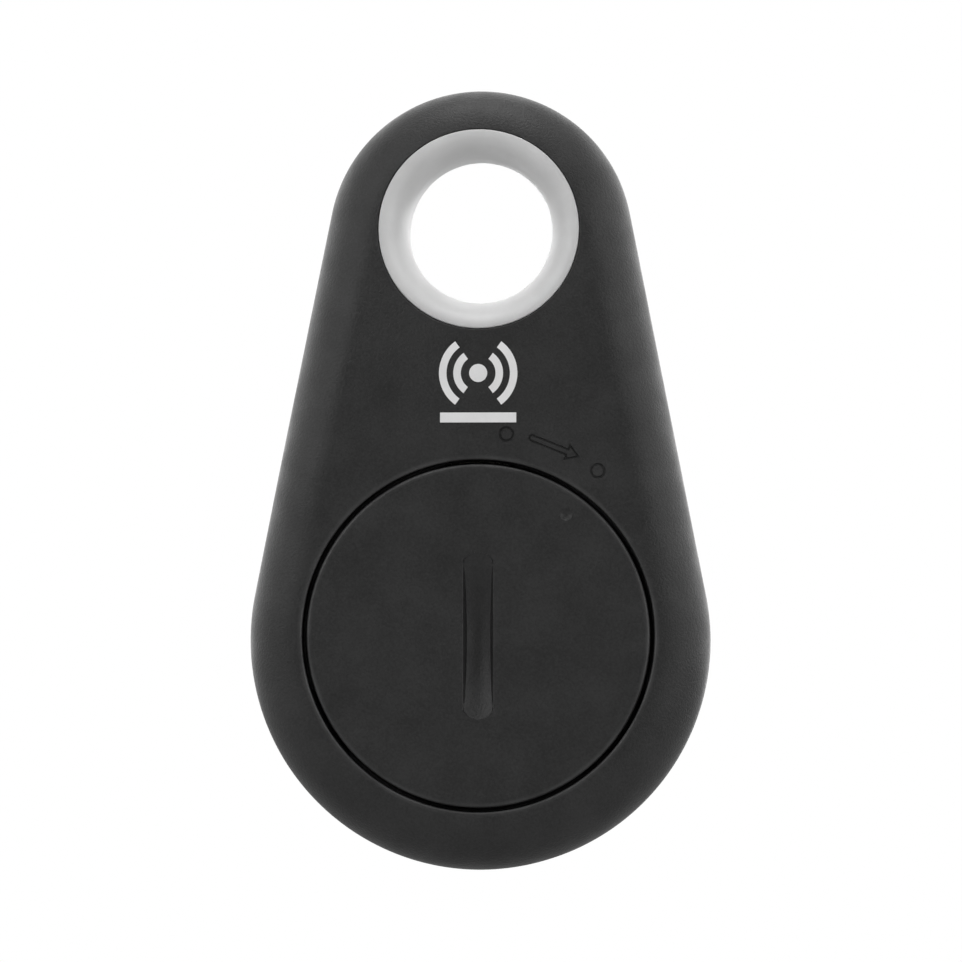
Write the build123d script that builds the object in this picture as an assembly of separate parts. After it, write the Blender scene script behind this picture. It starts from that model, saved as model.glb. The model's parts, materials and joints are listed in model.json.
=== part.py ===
from build123d import *

# A teardrop key-finder tag with a coin-slot battery door, in millimetres.
#
# The origin is the centre of the eyelet's bore, on the plane where the two shells part.
# +Z points up to the eyelet's end, +X goes across, and the eyelet's bore runs along Y.
# The battery door faces -Y and the push button faces +Y.

import os
from math import asin, cos, radians, sin, sqrt

# Outline and thickness of the body
bottom_radius = 15.3
top_radius = 10.13
door_to_eyelet = 27.05
bottom_drop = 0.2
crown_drop = 0.65
thickness = 11.0
tip_thickness = 7.0
edge_radius = 3.4
wall = 1.5
slope_margin = 0.8

# Joint between the shells
lip_width = 0.6
lip_height = 0.8
lip_clearance = 0.05
parting_groove_size = 0.12

# Eyelet ring and the seat that holds it
eyelet_bore_radius = 4.8
eyelet_land = 2.4
eyelet_mouth_radius = 5.75
eyelet_mouth_round = 0.7
eyelet_outer_radius = 6.66
eyelet_collar_radius = 7.4
eyelet_collar_height = 1.6
eyelet_clearance = 0.04
eyelet_seat_wall = 2.34

# Battery door
door_gap = 0.3
door_thickness = 1.5
door_rim_round = 0.2
door_turn_angle = 28.0
slot_width = 1.95
slot_length = 11.1
slot_depth = 1.05
dimple_radius = 0.42
dimple_depth = 0.16
dimple_inset = 1.45
skirt_width = 0.68
skirt_running_gap = 0.2
lug_count = 3
lug_angle = 20.0
lug_thickness = 0.7
lug_reach = 0.6
lug_clearance = 0.06
notch_clearance = 0.1
notch_side_angle = 2.0
ledge_width = 0.54
ledge_thickness = 0.6
collar_width = 1.8
seal_section = 0.46
seal_clearance = 0.02
seal_bore_gap = 0.12
door_rib_length = 14.0
door_rib_width = 1.2

# Engraved marks round the door
mark_depth = 0.15
mark_rim_distance = 1.8
open_mark_angle = 8.0
ring_mark_outer = 0.5
ring_mark_line = 0.16
arrow_length = 3.7
arrow_shaft_width = 0.53
arrow_head_width = 1.25
arrow_head_length = 1.0
arrow_line = 0.13

# Coin cell
cell_radius = 10.0
cell_height = 3.2
cell_wall = 0.25
cell_cap_inset = 1.4
cell_cap_step = 0.45
cell_crimp_round = 0.6
cell_gasket_width = 0.35
cell_headroom = 0.4
cell_side_gap = 0.25

# Circuit board and battery contacts
contact_gap = 0.6
board_thickness = 1.0
board_edge_gap = 0.3
board_seat_gap = 0.4
tray_flange_thickness = 0.5
tray_flange_width = 2.9
tray_wall_width = 0.7
tray_skirt_gap = 0.25
spring_thickness = 0.15
spring_hub_radius = 2.6
spring_arm_width = 1.6
spring_arm_reach = 6.6
spring_arm_count = 3
touch_gap = 0.05
clip_thickness = 0.2
clip_width = 4.0
clip_foot = 2.0
clip_side_gap = 0.4

# Push button and its switch
button_radius = 6.5
button_gap = 0.2
button_recess = 0.2
button_flange_radius = 7.3
button_flange_thickness = 0.6
button_travel = 0.25
button_post_gap = 0.02
button_rim_round = 0.35
button_dish_depth = 0.35
button_post_radius = 1.6
switch_side = 5.2
switch_base_height = 1.4
switch_well_radius = 1.8
switch_well_depth = 1.1
switch_cover_thickness = 0.2
switch_cover_hole = 1.1
plunger_radius = 1.0
plunger_flange_radius = 1.5
plunger_flange_thickness = 0.35
plunger_spare_rise = 0.15
dome_radius = 1.7
dome_rise = 0.25
dome_thickness = 0.08

# Sounder
buzzer_side = 8.0
buzzer_height = 2.2
buzzer_seat_gap = 0.1
buzzer_well_radius = 3.6
buzzer_floor = 0.5
buzzer_lid_thickness = 0.2
buzzer_port_radius = 1.0
plate_radius = 3.55
plate_thickness = 0.12
ceramic_radius = 2.4
ceramic_thickness = 0.15
plate_ledge_width = 0.5
sound_hole_radius = 0.4
sound_hole_pitch = 1.7
sound_hole_count = 3

# Indicator light
light_to_button_rim = 2.05
window_radius = 0.9
window_clearance = 0.03
window_flange_radius = 1.1
window_flange_thickness = 0.4
led_length = 1.6
led_width = 0.8
led_base_height = 0.3
led_lens_height = 0.4

# Small components on the board
leg_length = 0.9
leg_width = 0.6
leg_thickness = 0.15
chip_side = 5.0
chip_height = 0.85
chip_to_switch_gap = 2.4
chip_dimple_radius = 0.3
chip_dimple_depth = 0.05
chip_dimple_inset = 0.6
crystal_length = 3.2
crystal_width = 2.5
crystal_height = 0.7
crystal_corner = 0.4
crystal_to_switch_gap = 3.1
small_part_length = 0.8
small_part_width = 1.6
capacitor_height = 0.8
capacitor_count = 6
capacitor_pitch = 2.2
resistor_height = 0.45
resistor_count = 4
resistor_pitch = 2.2
component_row_gap = 3.6
trace_thickness = 0.05
trace_width = 0.6
antenna_strips = 8
antenna_pitch = 2.0
antenna_edge_gap = 0.4
antenna_tray_gap = 0.85

# Posts that locate the board
post_radius = 0.9
peg_radius = 0.45
peg_clearance = 0.08
post_tray_inset = 1.25
post_count = 4
press_rib_radius = 0.55
press_rib_gap = 0.35

# Places worked out from the sizes above
face_y = thickness / 2
door_z = -door_to_eyelet
bottom_z = door_z - bottom_drop
crown_z = -crown_drop
tip_z = crown_z + top_radius
skirt_inner = cell_radius + cell_side_gap
skirt_outer = skirt_inner + skirt_width
ledge_bore = skirt_outer + skirt_running_gap
opening_radius = ledge_bore + ledge_width
door_radius = opening_radius - door_gap
mark_circle_radius = opening_radius + mark_rim_distance
slope_start_z = door_z + opening_radius + slope_margin
slope_drop = (thickness - tip_thickness) / 2
slope_run = tip_z - slope_start_z
slope_radius = (slope_run**2 + slope_drop**2) / (2 * slope_drop)
door_back_y = -face_y + door_thickness
seal_height = seal_section + 2 * seal_clearance
ledge_y = door_back_y + seal_height
ledge_back_y = ledge_y + ledge_thickness
lug_top_y = ledge_back_y + lug_clearance
skirt_end_y = lug_top_y + lug_thickness
lug_outer = skirt_outer + lug_reach
cell_cap_radius = cell_radius - cell_cap_inset
cell_top_y = door_back_y + cell_headroom
cell_bottom_y = cell_top_y + cell_height
board_back_y = cell_bottom_y + contact_gap
board_front_y = board_back_y + board_thickness
front_inner_y = face_y - wall
tray_bore = cell_radius + cell_side_gap
switch_top_y = board_front_y + switch_base_height
cover_top_y = switch_top_y + switch_cover_thickness
plunger_top_y = cover_top_y + button_travel + plunger_spare_rise
button_top_y = face_y - button_recess
button_flange_top_y = front_inner_y - touch_gap
button_flange_low_y = button_flange_top_y - button_flange_thickness
eyelet_face_y = face_y - slope_radius + sqrt(slope_radius**2 - slope_start_z**2)
can_end_y = cell_bottom_y - cell_cap_step
cell_step_y = cell_top_y + cell_height / 3
tray_top_y = board_back_y - tray_flange_thickness
switch_well_y = switch_top_y - switch_well_depth
leg_top_y = board_front_y + leg_thickness
buzzer_top_y = board_front_y + buzzer_height
plate_y = board_front_y + buzzer_height / 2
led_top_y = board_front_y + led_base_height
seat_radius = eyelet_outer_radius + eyelet_seat_wall
board_top_z = -seat_radius - board_seat_gap
buzzer_z = -seat_radius - buzzer_seat_gap - buzzer_side / 2
light_z = door_z + button_radius + button_gap + light_to_button_rim
antenna_top_z = board_top_z - antenna_edge_gap
antenna_low_z = door_z + tray_bore + tray_flange_width + antenna_tray_gap
switch_leg_end_x = switch_side / 2 + leg_length
chip_x = -switch_leg_end_x - chip_to_switch_gap - chip_side / 2
crystal_x = switch_leg_end_x + crystal_to_switch_gap + crystal_length / 2
post_circle_radius = tray_bore + tray_flange_width - post_tray_inset
reach = 60.0


def plane_at(y):
    """A plane across the tag at a depth, with X across, Z up and its normal along -Y."""
    return Plane(origin=(0, y, 0), x_dir=(1, 0, 0), z_dir=(0, -1, 0))


def slab(sketch, y_low, y_high):
    """A flat sketch, drawn in X and Z, given thickness between two depths."""
    return extrude(plane_at(y_high) * sketch, amount=y_high - y_low)


def disc(radius, y_low, y_high, x=0.0, z=0.0):
    """A round plate or pin along Y."""
    return slab(Pos(x, z) * Circle(radius), y_low, y_high)


def block(width, height, y_low, y_high, x=0.0, z=0.0):
    """A rectangular plate with its width along X and its height along Z."""
    return slab(Pos(x, z) * Rectangle(width, height), y_low, y_high)


def tube(outer, inner, y_low, y_high, x=0.0, z=0.0):
    """A ring along Y."""
    return slab(Pos(x, z) * (Circle(outer) - Circle(inner)), y_low, y_high)


def sector(radius, angle, y_low, y_high, z=0.0):
    """A wedge of a disc that spans an angle, centred on straight up."""
    half = radians(angle / 2)
    far = 2 * radius
    wedge = Polygon(
        (0, 0),
        (-far * sin(half), far * cos(half)),
        (far * sin(half), far * cos(half)),
        align=None,
    )
    return slab(Pos(0, z) * (Circle(radius) & wedge), y_low, y_high)


def turned(solid, angle, z=0.0):
    """The solid turned clockwise, as seen from the door side, about a Y axis at a height."""
    return Pos(0, 0, z) * Rot(0, angle, 0) * Pos(0, 0, -z) * solid


def at_clock(angle, radius):
    """X and Z of a point round the door's centre, its angle clockwise from straight up."""
    return radius * sin(radians(angle)), door_z + radius * cos(radians(angle))


def outline(inset):
    """The tag's outline pulled in by an inset: two round ends and their common tangents."""
    low = bottom_radius - inset
    high = top_radius - inset
    lean = asin((low - high) / (crown_z - bottom_z))
    low_point = (low * cos(lean), bottom_z + low * sin(lean))
    high_point = (high * cos(lean), crown_z + high * sin(lean))
    low_mirror = (-low_point[0], low_point[1])
    high_mirror = (-high_point[0], high_point[1])
    edges = [
        Line(low_point, high_point),
        ThreePointArc(high_point, (0, crown_z + high), high_mirror),
        Line(high_mirror, low_mirror),
        ThreePointArc(low_mirror, (0, bottom_z - low), low_point),
    ]
    return make_face(edges)


def side_profile(inset):
    """The tag seen from its side: flat at the door, then both faces close in towards the tip."""
    flat = face_y - inset
    radius = slope_radius - inset
    centre = face_y - slope_radius
    top = tip_z + wall
    top_y = centre + sqrt(radius**2 - (top - slope_start_z) ** 2)
    half_run = (top - slope_start_z) / 2
    mid_y = centre + sqrt(radius**2 - half_run**2)
    mid_z = slope_start_z + half_run
    low = bottom_z - bottom_radius - wall
    edges = [
        Line((flat, low), (flat, slope_start_z)),
        ThreePointArc((flat, slope_start_z), (mid_y, mid_z), (top_y, top)),
        Line((top_y, top), (-top_y, top)),
        ThreePointArc((-top_y, top), (-mid_y, mid_z), (-flat, slope_start_z)),
        Line((-flat, slope_start_z), (-flat, low)),
        Line((-flat, low), (flat, low)),
    ]
    return extrude(Plane.YZ * make_face(edges), amount=reach, both=True)


def envelope(inset):
    """The whole tag's rounded form, pulled in by an inset all round."""
    body = slab(outline(inset), -thickness, thickness) & side_profile(inset)
    rims = body.edges() - body.edges().filter_by(Axis.X) - body.edges().filter_by(Axis.Y)
    return fillet(rims, edge_radius - inset)


def half_space(y_low, y_high):
    """A block that is wider than the tag between two depths."""
    return block(reach, 2 * reach, y_low, y_high, z=door_z)


def parting_groove():
    """A cutter for the fine groove round the tag where the shells part."""
    outside = half_space(-parting_groove_size, parting_groove_size)
    middle = slab(outline(parting_groove_size), -parting_groove_size, parting_groove_size)
    return outside - middle


def eyelet_seat(y_low, y_high):
    """The wall round the eyelet ring inside a shell."""
    return disc(seat_radius, y_low, y_high)


def ring_mark(angle):
    """The cutter for a small engraved ring beside the door."""
    x, z = at_clock(angle, mark_circle_radius)
    low, high = -face_y - mark_depth, -face_y + mark_depth
    return tube(ring_mark_outer, ring_mark_outer - ring_mark_line, low, high, x, z)


def arrow_shape():
    """A flat arrow that points along +X, centred on its length, with a round tail."""
    half_shaft = arrow_shaft_width / 2
    tail = -arrow_length / 2 + half_shaft
    neck = arrow_length / 2 - arrow_head_length
    tip = arrow_length / 2
    half_head = arrow_head_width / 2
    shaft = Pos((tail + neck) / 2, 0) * Rectangle(neck - tail, arrow_shaft_width)
    head = Polygon((neck, -half_head), (tip, 0), (neck, half_head), align=None)
    return shaft + Pos(tail, 0) * Circle(half_shaft) + head


def arrow_mark():
    """The cutter for the engraved arrow between the two ring marks, an outline only."""
    middle = open_mark_angle + door_turn_angle / 2
    x, z = at_clock(middle, mark_circle_radius)
    line = arrow_shape() - offset(arrow_shape(), amount=-arrow_line)
    low, high = -face_y - mark_depth, -face_y + mark_depth
    return slab(Pos(x, z) * Rot(0, 0, -middle) * line, low, high)


def pins(radius, circle, y_low, y_high):
    """Round pins or ribs in a ring round the door's centre, as one shape."""
    made = Part()
    for i in range(post_count):
        x, z = at_clock(45 + 360 * i / post_count, circle)
        made += disc(radius, y_low, y_high, x, z)
    return made


def front_shell():
    """The shell with the push button, with a rebate for the back shell's lip."""
    shell = envelope(0.0) & half_space(0, thickness)
    shell -= envelope(wall)
    seat_low = eyelet_collar_height / 2 + eyelet_clearance
    shell += eyelet_seat(seat_low, thickness) & envelope(wall / 2)
    shell += pins(post_radius, post_circle_radius, board_front_y, front_inner_y + wall / 2)
    shell += pins(peg_radius, post_circle_radius, board_back_y + touch_gap, board_front_y)
    rebate_inset = wall - lip_width - 2 * lip_clearance
    rebate = outline(rebate_inset) - outline(wall + lip_clearance)
    shell -= slab(rebate, -lip_height, lip_height + lip_clearance)
    shell -= disc(eyelet_outer_radius + eyelet_clearance, -thickness, thickness)
    shell -= disc(button_radius + button_gap, front_inner_y - wall, thickness, z=door_z)
    shell -= disc(window_radius + window_clearance, 0, thickness, z=light_z)
    for i in range(sound_hole_count):
        x = (i - (sound_hole_count - 1) / 2) * sound_hole_pitch
        shell -= disc(sound_hole_radius, 0, thickness, x, buzzer_z)
    return shell - parting_groove()


def back_shell():
    """The shell with the battery opening, its bayonet ledge and the engraved marks."""
    shell = envelope(0.0) & half_space(-thickness, 0)
    shell -= envelope(wall)
    seat_high = -eyelet_collar_height / 2 - eyelet_clearance
    shell += eyelet_seat(-thickness, seat_high) & envelope(wall / 2)
    lip = outline(wall - lip_width - lip_clearance) - outline(wall)
    shell += slab(lip, -wall, lip_height)
    shell += disc(opening_radius + collar_width, wall / 2 - face_y, ledge_back_y, z=door_z)
    rib_circle = lug_outer + press_rib_gap + press_rib_radius
    shell += pins(press_rib_radius, rib_circle, ledge_y, tray_top_y - touch_gap)
    shell -= disc(opening_radius, -thickness, ledge_y, z=door_z)
    shell -= disc(ledge_bore, -thickness, skirt_end_y, z=door_z)
    notch_angle = lug_angle + 2 * notch_side_angle
    notch = sector(lug_outer + notch_clearance, notch_angle, ledge_y - wall, skirt_end_y, door_z)
    for i in range(lug_count):
        shell -= turned(notch, 360 * i / lug_count, door_z)
    shell -= ring_mark(open_mark_angle)
    shell -= ring_mark(open_mark_angle + door_turn_angle)
    shell -= arrow_mark()
    shell -= disc(eyelet_outer_radius + eyelet_clearance, -thickness, thickness)
    return shell - parting_groove()


def eyelet_ring():
    """The eyelet's lining, flush with both faces, with a collar held between the shells."""
    ring = disc(eyelet_outer_radius, -thickness, thickness) & side_profile(0.0)
    half_collar = eyelet_collar_height / 2
    ring += disc(eyelet_collar_radius, -half_collar, half_collar)
    half_land = eyelet_land / 2
    slope = (eyelet_mouth_radius - eyelet_bore_radius) / (eyelet_face_y - half_land)
    mouth_far = thickness / 2 + wall
    mouth_depth = mouth_far - half_land
    mouth_radius = eyelet_bore_radius + slope * mouth_depth
    mouth = Cone(eyelet_bore_radius, mouth_radius, mouth_depth)
    ring -= disc(eyelet_bore_radius, -thickness, thickness)
    ring -= Pos(0, half_land + mouth_depth / 2, 0) * Rot(-90, 0, 0) * mouth
    ring -= Pos(0, -half_land - mouth_depth / 2, 0) * Rot(90, 0, 0) * mouth
    rims = ring.edges().filter_by(is_mouth_rim)
    return fillet(rims, eyelet_mouth_round)


def is_mouth_rim(edge):
    """Whether an edge of the eyelet ring is where its bore's mouth meets a face."""
    box = edge.bounding_box()
    at_face = abs(edge.center(CenterOf.BOUNDING_BOX).Y) > eyelet_land
    return at_face and box.max.X < eyelet_outer_radius - eyelet_clearance


def door_slot():
    """The cutter for the coin slot, whose floor is an arc as a coin's edge would need."""
    radius = (slot_length**2 / 4 + slot_depth**2) / (2 * slot_depth)
    centre_y = slot_depth - face_y - radius
    return Pos(0, centre_y, door_z) * Rot(0, 90, 0) * Cylinder(radius, slot_width)


def door_dimple():
    """The cutter for the round dimple that lines up with the ring marks."""
    radius = (dimple_radius**2 + dimple_depth**2) / (2 * dimple_depth)
    x, z = at_clock(open_mark_angle + door_turn_angle, door_radius - dimple_inset)
    return Pos(x, dimple_depth - face_y - radius, z) * Sphere(radius)


def battery_door():
    """The round door, with its coin slot, a skirt round the cell and three bayonet lugs."""
    door = disc(door_radius, -face_y, door_back_y, z=door_z)
    door = fillet(door.edges().sort_by(Axis.Y)[0], door_rim_round)
    door += tube(skirt_outer, skirt_inner, door_back_y, skirt_end_y, z=door_z)
    lug = sector(lug_outer, lug_angle, lug_top_y, skirt_end_y, door_z)
    lug -= disc(skirt_inner, lug_top_y, skirt_end_y, z=door_z)
    for i in range(lug_count):
        door += turned(lug, 360 * i / lug_count, door_z)
    rib_end_y = cell_top_y - touch_gap
    door += block(door_rib_length, door_rib_width, door_back_y, rib_end_y, z=door_z)
    door += block(door_rib_width, door_rib_length, door_back_y, rib_end_y, z=door_z)
    return door - door_slot() - door_dimple()


def door_seal():
    """The O-ring round the door's skirt, between the door and the ledge."""
    ring_radius = skirt_outer + seal_bore_gap + seal_section / 2
    ring = Torus(ring_radius, seal_section / 2)
    return Pos(0, door_back_y + seal_height / 2, door_z) * Rot(90, 0, 0) * ring


def cell_can():
    """The coin cell's positive can: its flat face is towards the door."""
    can = disc(cell_radius, cell_top_y, can_end_y, z=door_z)
    can = fillet(can.edges().sort_by(Axis.Y)[0], cell_crimp_round)
    inner = disc(cell_radius - cell_wall, cell_top_y + cell_wall, can_end_y - cell_wall, z=door_z)
    mouth = disc(cell_cap_radius + cell_gasket_width, cell_top_y + cell_wall, can_end_y, z=door_z)
    return can - inner - mouth


def cell_cap():
    """The coin cell's negative cap, towards the circuit board."""
    cap = disc(cell_cap_radius, cell_step_y, cell_bottom_y, z=door_z)
    cap = fillet(cap.edges().sort_by(Axis.Y)[-1], cell_cap_step / 2)
    hollow = disc(cell_cap_radius - cell_wall, cell_step_y, cell_bottom_y - cell_wall, z=door_z)
    return cap - hollow


def cell_gasket():
    """The nylon ring that keeps the can and the cap apart."""
    outer = cell_radius - cell_wall
    ring = tube(outer, cell_cap_radius, cell_step_y, can_end_y - cell_wall, z=door_z)
    neck = cell_cap_radius + cell_gasket_width
    return ring + tube(neck, cell_cap_radius, can_end_y - cell_wall, can_end_y, z=door_z)


def cell_core():
    """The cathode, separator and lithium inside the cell, as one block."""
    wide = disc(cell_radius - 2 * cell_wall, cell_top_y + cell_wall, cell_step_y, z=door_z)
    narrow_radius = cell_cap_radius - 2 * cell_wall
    return wide + disc(narrow_radius, cell_step_y, cell_bottom_y - cell_wall, z=door_z)


def circuit_board():
    """The board: the body's outline, cut straight below the eyelet, with holes for the pegs."""
    board = slab(outline(wall + board_edge_gap), board_back_y, board_front_y)
    board -= block(reach, reach, board_back_y, board_front_y, z=board_top_z + reach / 2)
    return board - pins(peg_radius + peg_clearance, post_circle_radius, board_back_y, board_front_y)


def antenna_trace():
    """The folded antenna printed on the board's back, clear of the cell."""
    low, high = board_back_y - trace_thickness, board_back_y
    middle_z = (antenna_top_z + antenna_low_z) / 2
    height = antenna_top_z - antenna_low_z
    trace = Part()
    for i in range(antenna_strips):
        x = (i - (antenna_strips - 1) / 2) * antenna_pitch
        trace += block(trace_width, height, low, high, x, middle_z)
        if i < antenna_strips - 1:
            bend_z = antenna_top_z if i % 2 else antenna_low_z
            bend_z += -trace_width / 2 if i % 2 else trace_width / 2
            trace += block(antenna_pitch, trace_width, low, high, x + antenna_pitch / 2, bend_z)
    return trace


def cell_tray():
    """The ring on the board that keeps the cell in place beside the contacts."""
    tray = tube(tray_bore + tray_flange_width, tray_bore, tray_top_y, board_back_y, z=door_z)
    wall_end_y = skirt_end_y + tray_skirt_gap
    tray += tube(tray_bore + tray_wall_width, tray_bore, wall_end_y, board_back_y, z=door_z)
    gap_width = clip_width + 2 * clip_side_gap
    return tray - block(gap_width, tray_bore, wall_end_y, board_back_y, z=door_z + tray_bore)


def negative_contact():
    """The spring with three arms that presses on the cell's cap."""
    low = board_back_y - spring_thickness
    spring = disc(spring_hub_radius, low, board_back_y, z=door_z)
    start = spring_hub_radius - spring_thickness
    tip_y = cell_bottom_y + touch_gap
    side = Polygon(
        (board_back_y, start),
        (low, start),
        (tip_y, spring_arm_reach),
        (tip_y + spring_thickness, spring_arm_reach),
        align=None,
    )
    arm = Pos(0, 0, door_z) * extrude(Plane.YZ * side, amount=spring_arm_width / 2, both=True)
    for i in range(spring_arm_count):
        spring += turned(arm, 360 * (i + 0.5) / spring_arm_count, door_z)
    return spring


def positive_contact():
    """The bent clip that touches the side of the cell's can."""
    leaf_z = door_z + cell_radius + touch_gap
    foot_low = board_back_y - clip_thickness
    foot = block(clip_width, clip_foot, foot_low, board_back_y, z=leaf_z + clip_foot / 2)
    end_y = skirt_end_y + tray_skirt_gap
    return foot + block(clip_width, clip_thickness, end_y, board_back_y, z=leaf_z + clip_thickness / 2)


def push_button():
    """The round button: a dished cap, a flange behind the shell and a post for the switch."""
    cap = disc(button_radius, button_flange_low_y, button_top_y, z=door_z)
    cap = fillet(cap.edges().sort_by(Axis.Y)[-1], button_rim_round)
    dish_edge = button_radius - 2 * button_rim_round
    dish_radius = (dish_edge**2 + button_dish_depth**2) / (2 * button_dish_depth)
    cap -= Pos(0, button_top_y - button_dish_depth + dish_radius, door_z) * Sphere(dish_radius)
    cap += disc(button_flange_radius, button_flange_low_y, button_flange_top_y, z=door_z)
    post_end_y = plunger_top_y + button_post_gap
    return cap + disc(button_post_radius, post_end_y, button_flange_low_y, z=door_z)


def switch_base():
    """The tactile switch's moulded base with the well that its dome lies in."""
    base = block(switch_side, switch_side, board_front_y, switch_top_y, z=door_z)
    return base - disc(switch_well_radius, switch_well_y, switch_top_y, z=door_z)


def switch_cover():
    """The switch's metal cover plate with two side tabs."""
    cover = block(switch_side, switch_side, switch_top_y, cover_top_y, z=door_z)
    tab_x = switch_side / 2 + switch_cover_thickness / 2
    for side in (-1, 1):
        cover += block(
            switch_cover_thickness, switch_side / 3, switch_well_y, cover_top_y, side * tab_x, door_z
        )
    return cover - disc(switch_cover_hole, switch_top_y, cover_top_y, z=door_z)


def switch_dome():
    """The snap dome at the bottom of the switch's well."""
    radius = (dome_radius**2 + dome_rise**2) / (2 * dome_rise)
    shell = Sphere(radius) - Sphere(radius - dome_thickness)
    placed = Pos(0, switch_well_y + dome_rise - radius, door_z) * shell
    return placed & disc(dome_radius, switch_well_y, switch_top_y, z=door_z)


def switch_plunger():
    """The switch's plunger, which the button's post pushes."""
    flange_top = switch_top_y - touch_gap
    flange_low = flange_top - plunger_flange_thickness
    plunger = disc(plunger_radius, flange_low, plunger_top_y, z=door_z)
    return plunger + disc(plunger_flange_radius, flange_low, flange_top, z=door_z)


def switch_terminals():
    """The switch's four solder legs."""
    legs = []
    for x_side in (-1, 1):
        for z_side in (-1, 1):
            x = x_side * (switch_side + leg_length) / 2
            z = door_z + z_side * (switch_side / 2 - leg_width)
            legs.append(block(leg_length, leg_width, board_front_y, leg_top_y, x, z))
    return Compound(legs)


def buzzer_case():
    """The sounder's square case, with a step that its brass plate lies on."""
    case = block(buzzer_side, buzzer_side, board_front_y, buzzer_top_y, z=buzzer_z)
    floor_y = board_front_y + buzzer_floor
    case -= disc(buzzer_well_radius - plate_ledge_width, floor_y, buzzer_top_y, z=buzzer_z)
    return case - disc(buzzer_well_radius, plate_y, buzzer_top_y, z=buzzer_z)


def buzzer_plate():
    """The sounder's brass plate."""
    return disc(plate_radius, plate_y, plate_y + plate_thickness, z=buzzer_z)


def buzzer_ceramic():
    """The piezo ceramic bonded to the brass plate."""
    low = plate_y + plate_thickness
    return disc(ceramic_radius, low, low + ceramic_thickness, z=buzzer_z)


def buzzer_lid():
    """The sounder's lid with its round port."""
    top = buzzer_top_y + buzzer_lid_thickness
    lid = block(buzzer_side, buzzer_side, buzzer_top_y, top, z=buzzer_z)
    return lid - disc(buzzer_port_radius, buzzer_top_y, top, z=buzzer_z)


def buzzer_terminals():
    """The sounder's two solder legs."""
    x = (buzzer_side + leg_length) / 2
    legs = [block(leg_length, 2 * leg_width, board_front_y, leg_top_y, s * x, buzzer_z) for s in (-1, 1)]
    return Compound(legs)


def light_window():
    """The clear window over the indicator light, with a flange behind the shell."""
    flange_low = front_inner_y - window_flange_thickness
    window = disc(window_radius, flange_low, face_y - window_clearance, z=light_z)
    return window + disc(window_flange_radius, flange_low, front_inner_y, z=light_z)


def led_base():
    """The indicator light's base."""
    return block(led_length, led_width, board_front_y, led_top_y, z=light_z)


def led_lens():
    """The indicator light's clear top."""
    return block(led_length * 2 / 3, led_width, led_top_y, led_top_y + led_lens_height, z=light_z)


def radio_chip():
    """The radio and processor chip, with a dimple at its first corner."""
    chip = block(chip_side, chip_side, board_front_y, board_front_y + chip_height, chip_x, door_z)
    mark = chip_side / 2 - chip_dimple_inset
    top = board_front_y + chip_height
    return chip - disc(chip_dimple_radius, top - chip_dimple_depth, top, chip_x - mark, door_z + mark)


def crystal_can():
    """The quartz crystal's metal can."""
    top = board_front_y + crystal_height
    can = block(crystal_length, crystal_width, board_front_y, top, crystal_x, door_z)
    return fillet(can.edges().filter_by(Axis.Y), crystal_corner)


def chip_row(count, height, x_start, x_step, z):
    """A row of small chip components on the board's front, as separate solids."""
    top = board_front_y + height
    row = []
    for i in range(count):
        row.append(block(small_part_length, small_part_width, board_front_y, top, x_start + i * x_step, z))
    return Compound(row)


def chip_capacitors():
    """The ceramic capacitors, in a row below the switch."""
    start = -(capacitor_count - 1) * capacitor_pitch / 2
    z = door_z - switch_side / 2 - component_row_gap
    return chip_row(capacitor_count, capacitor_height, start, capacitor_pitch, z)


def chip_resistors():
    """The resistors, in a row above the switch."""
    start = -(resistor_count - 1) * resistor_pitch / 2
    z = door_z + switch_side / 2 + component_row_gap / 2
    return chip_row(resistor_count, resistor_height, start, resistor_pitch, z)


PIECES = (
    front_shell,
    back_shell,
    eyelet_ring,
    battery_door,
    door_seal,
    cell_can,
    cell_cap,
    cell_gasket,
    cell_core,
    cell_tray,
    negative_contact,
    positive_contact,
    circuit_board,
    antenna_trace,
    radio_chip,
    crystal_can,
    chip_capacitors,
    chip_resistors,
    push_button,
    switch_base,
    switch_cover,
    switch_dome,
    switch_plunger,
    switch_terminals,
    buzzer_case,
    buzzer_plate,
    buzzer_ceramic,
    buzzer_lid,
    buzzer_terminals,
    light_window,
    led_base,
    led_lens,
)

os.makedirs("parts", exist_ok=True)
for make in PIECES:
    export_step(make(), f"parts/{make.__name__}.step")
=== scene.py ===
import json
import logging
import math
from abc import ABC, abstractmethod
from collections.abc import Sequence
from dataclasses import dataclass, field, replace
from enum import Enum

import bmesh
import bpy
import numpy as np
from mathutils import Matrix, Vector


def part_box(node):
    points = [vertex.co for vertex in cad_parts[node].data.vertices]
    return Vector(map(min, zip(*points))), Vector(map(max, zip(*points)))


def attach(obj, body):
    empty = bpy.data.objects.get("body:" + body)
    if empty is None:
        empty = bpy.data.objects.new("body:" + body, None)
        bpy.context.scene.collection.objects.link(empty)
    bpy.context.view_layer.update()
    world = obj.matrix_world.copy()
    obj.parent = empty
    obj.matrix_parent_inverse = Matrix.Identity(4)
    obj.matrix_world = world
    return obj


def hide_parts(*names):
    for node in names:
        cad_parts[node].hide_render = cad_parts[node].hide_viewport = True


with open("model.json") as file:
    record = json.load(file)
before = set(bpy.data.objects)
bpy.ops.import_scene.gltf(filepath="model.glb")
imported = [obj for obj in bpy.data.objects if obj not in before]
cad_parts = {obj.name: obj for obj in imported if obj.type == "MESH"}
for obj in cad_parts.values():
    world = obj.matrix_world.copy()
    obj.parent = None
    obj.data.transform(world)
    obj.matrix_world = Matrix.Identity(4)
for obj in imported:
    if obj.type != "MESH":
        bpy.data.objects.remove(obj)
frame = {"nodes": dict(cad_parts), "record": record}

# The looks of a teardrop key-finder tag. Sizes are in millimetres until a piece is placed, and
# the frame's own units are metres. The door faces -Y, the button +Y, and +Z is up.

logging.basicConfig(level=logging.INFO, format="%(name)s: %(message)s")
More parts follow.
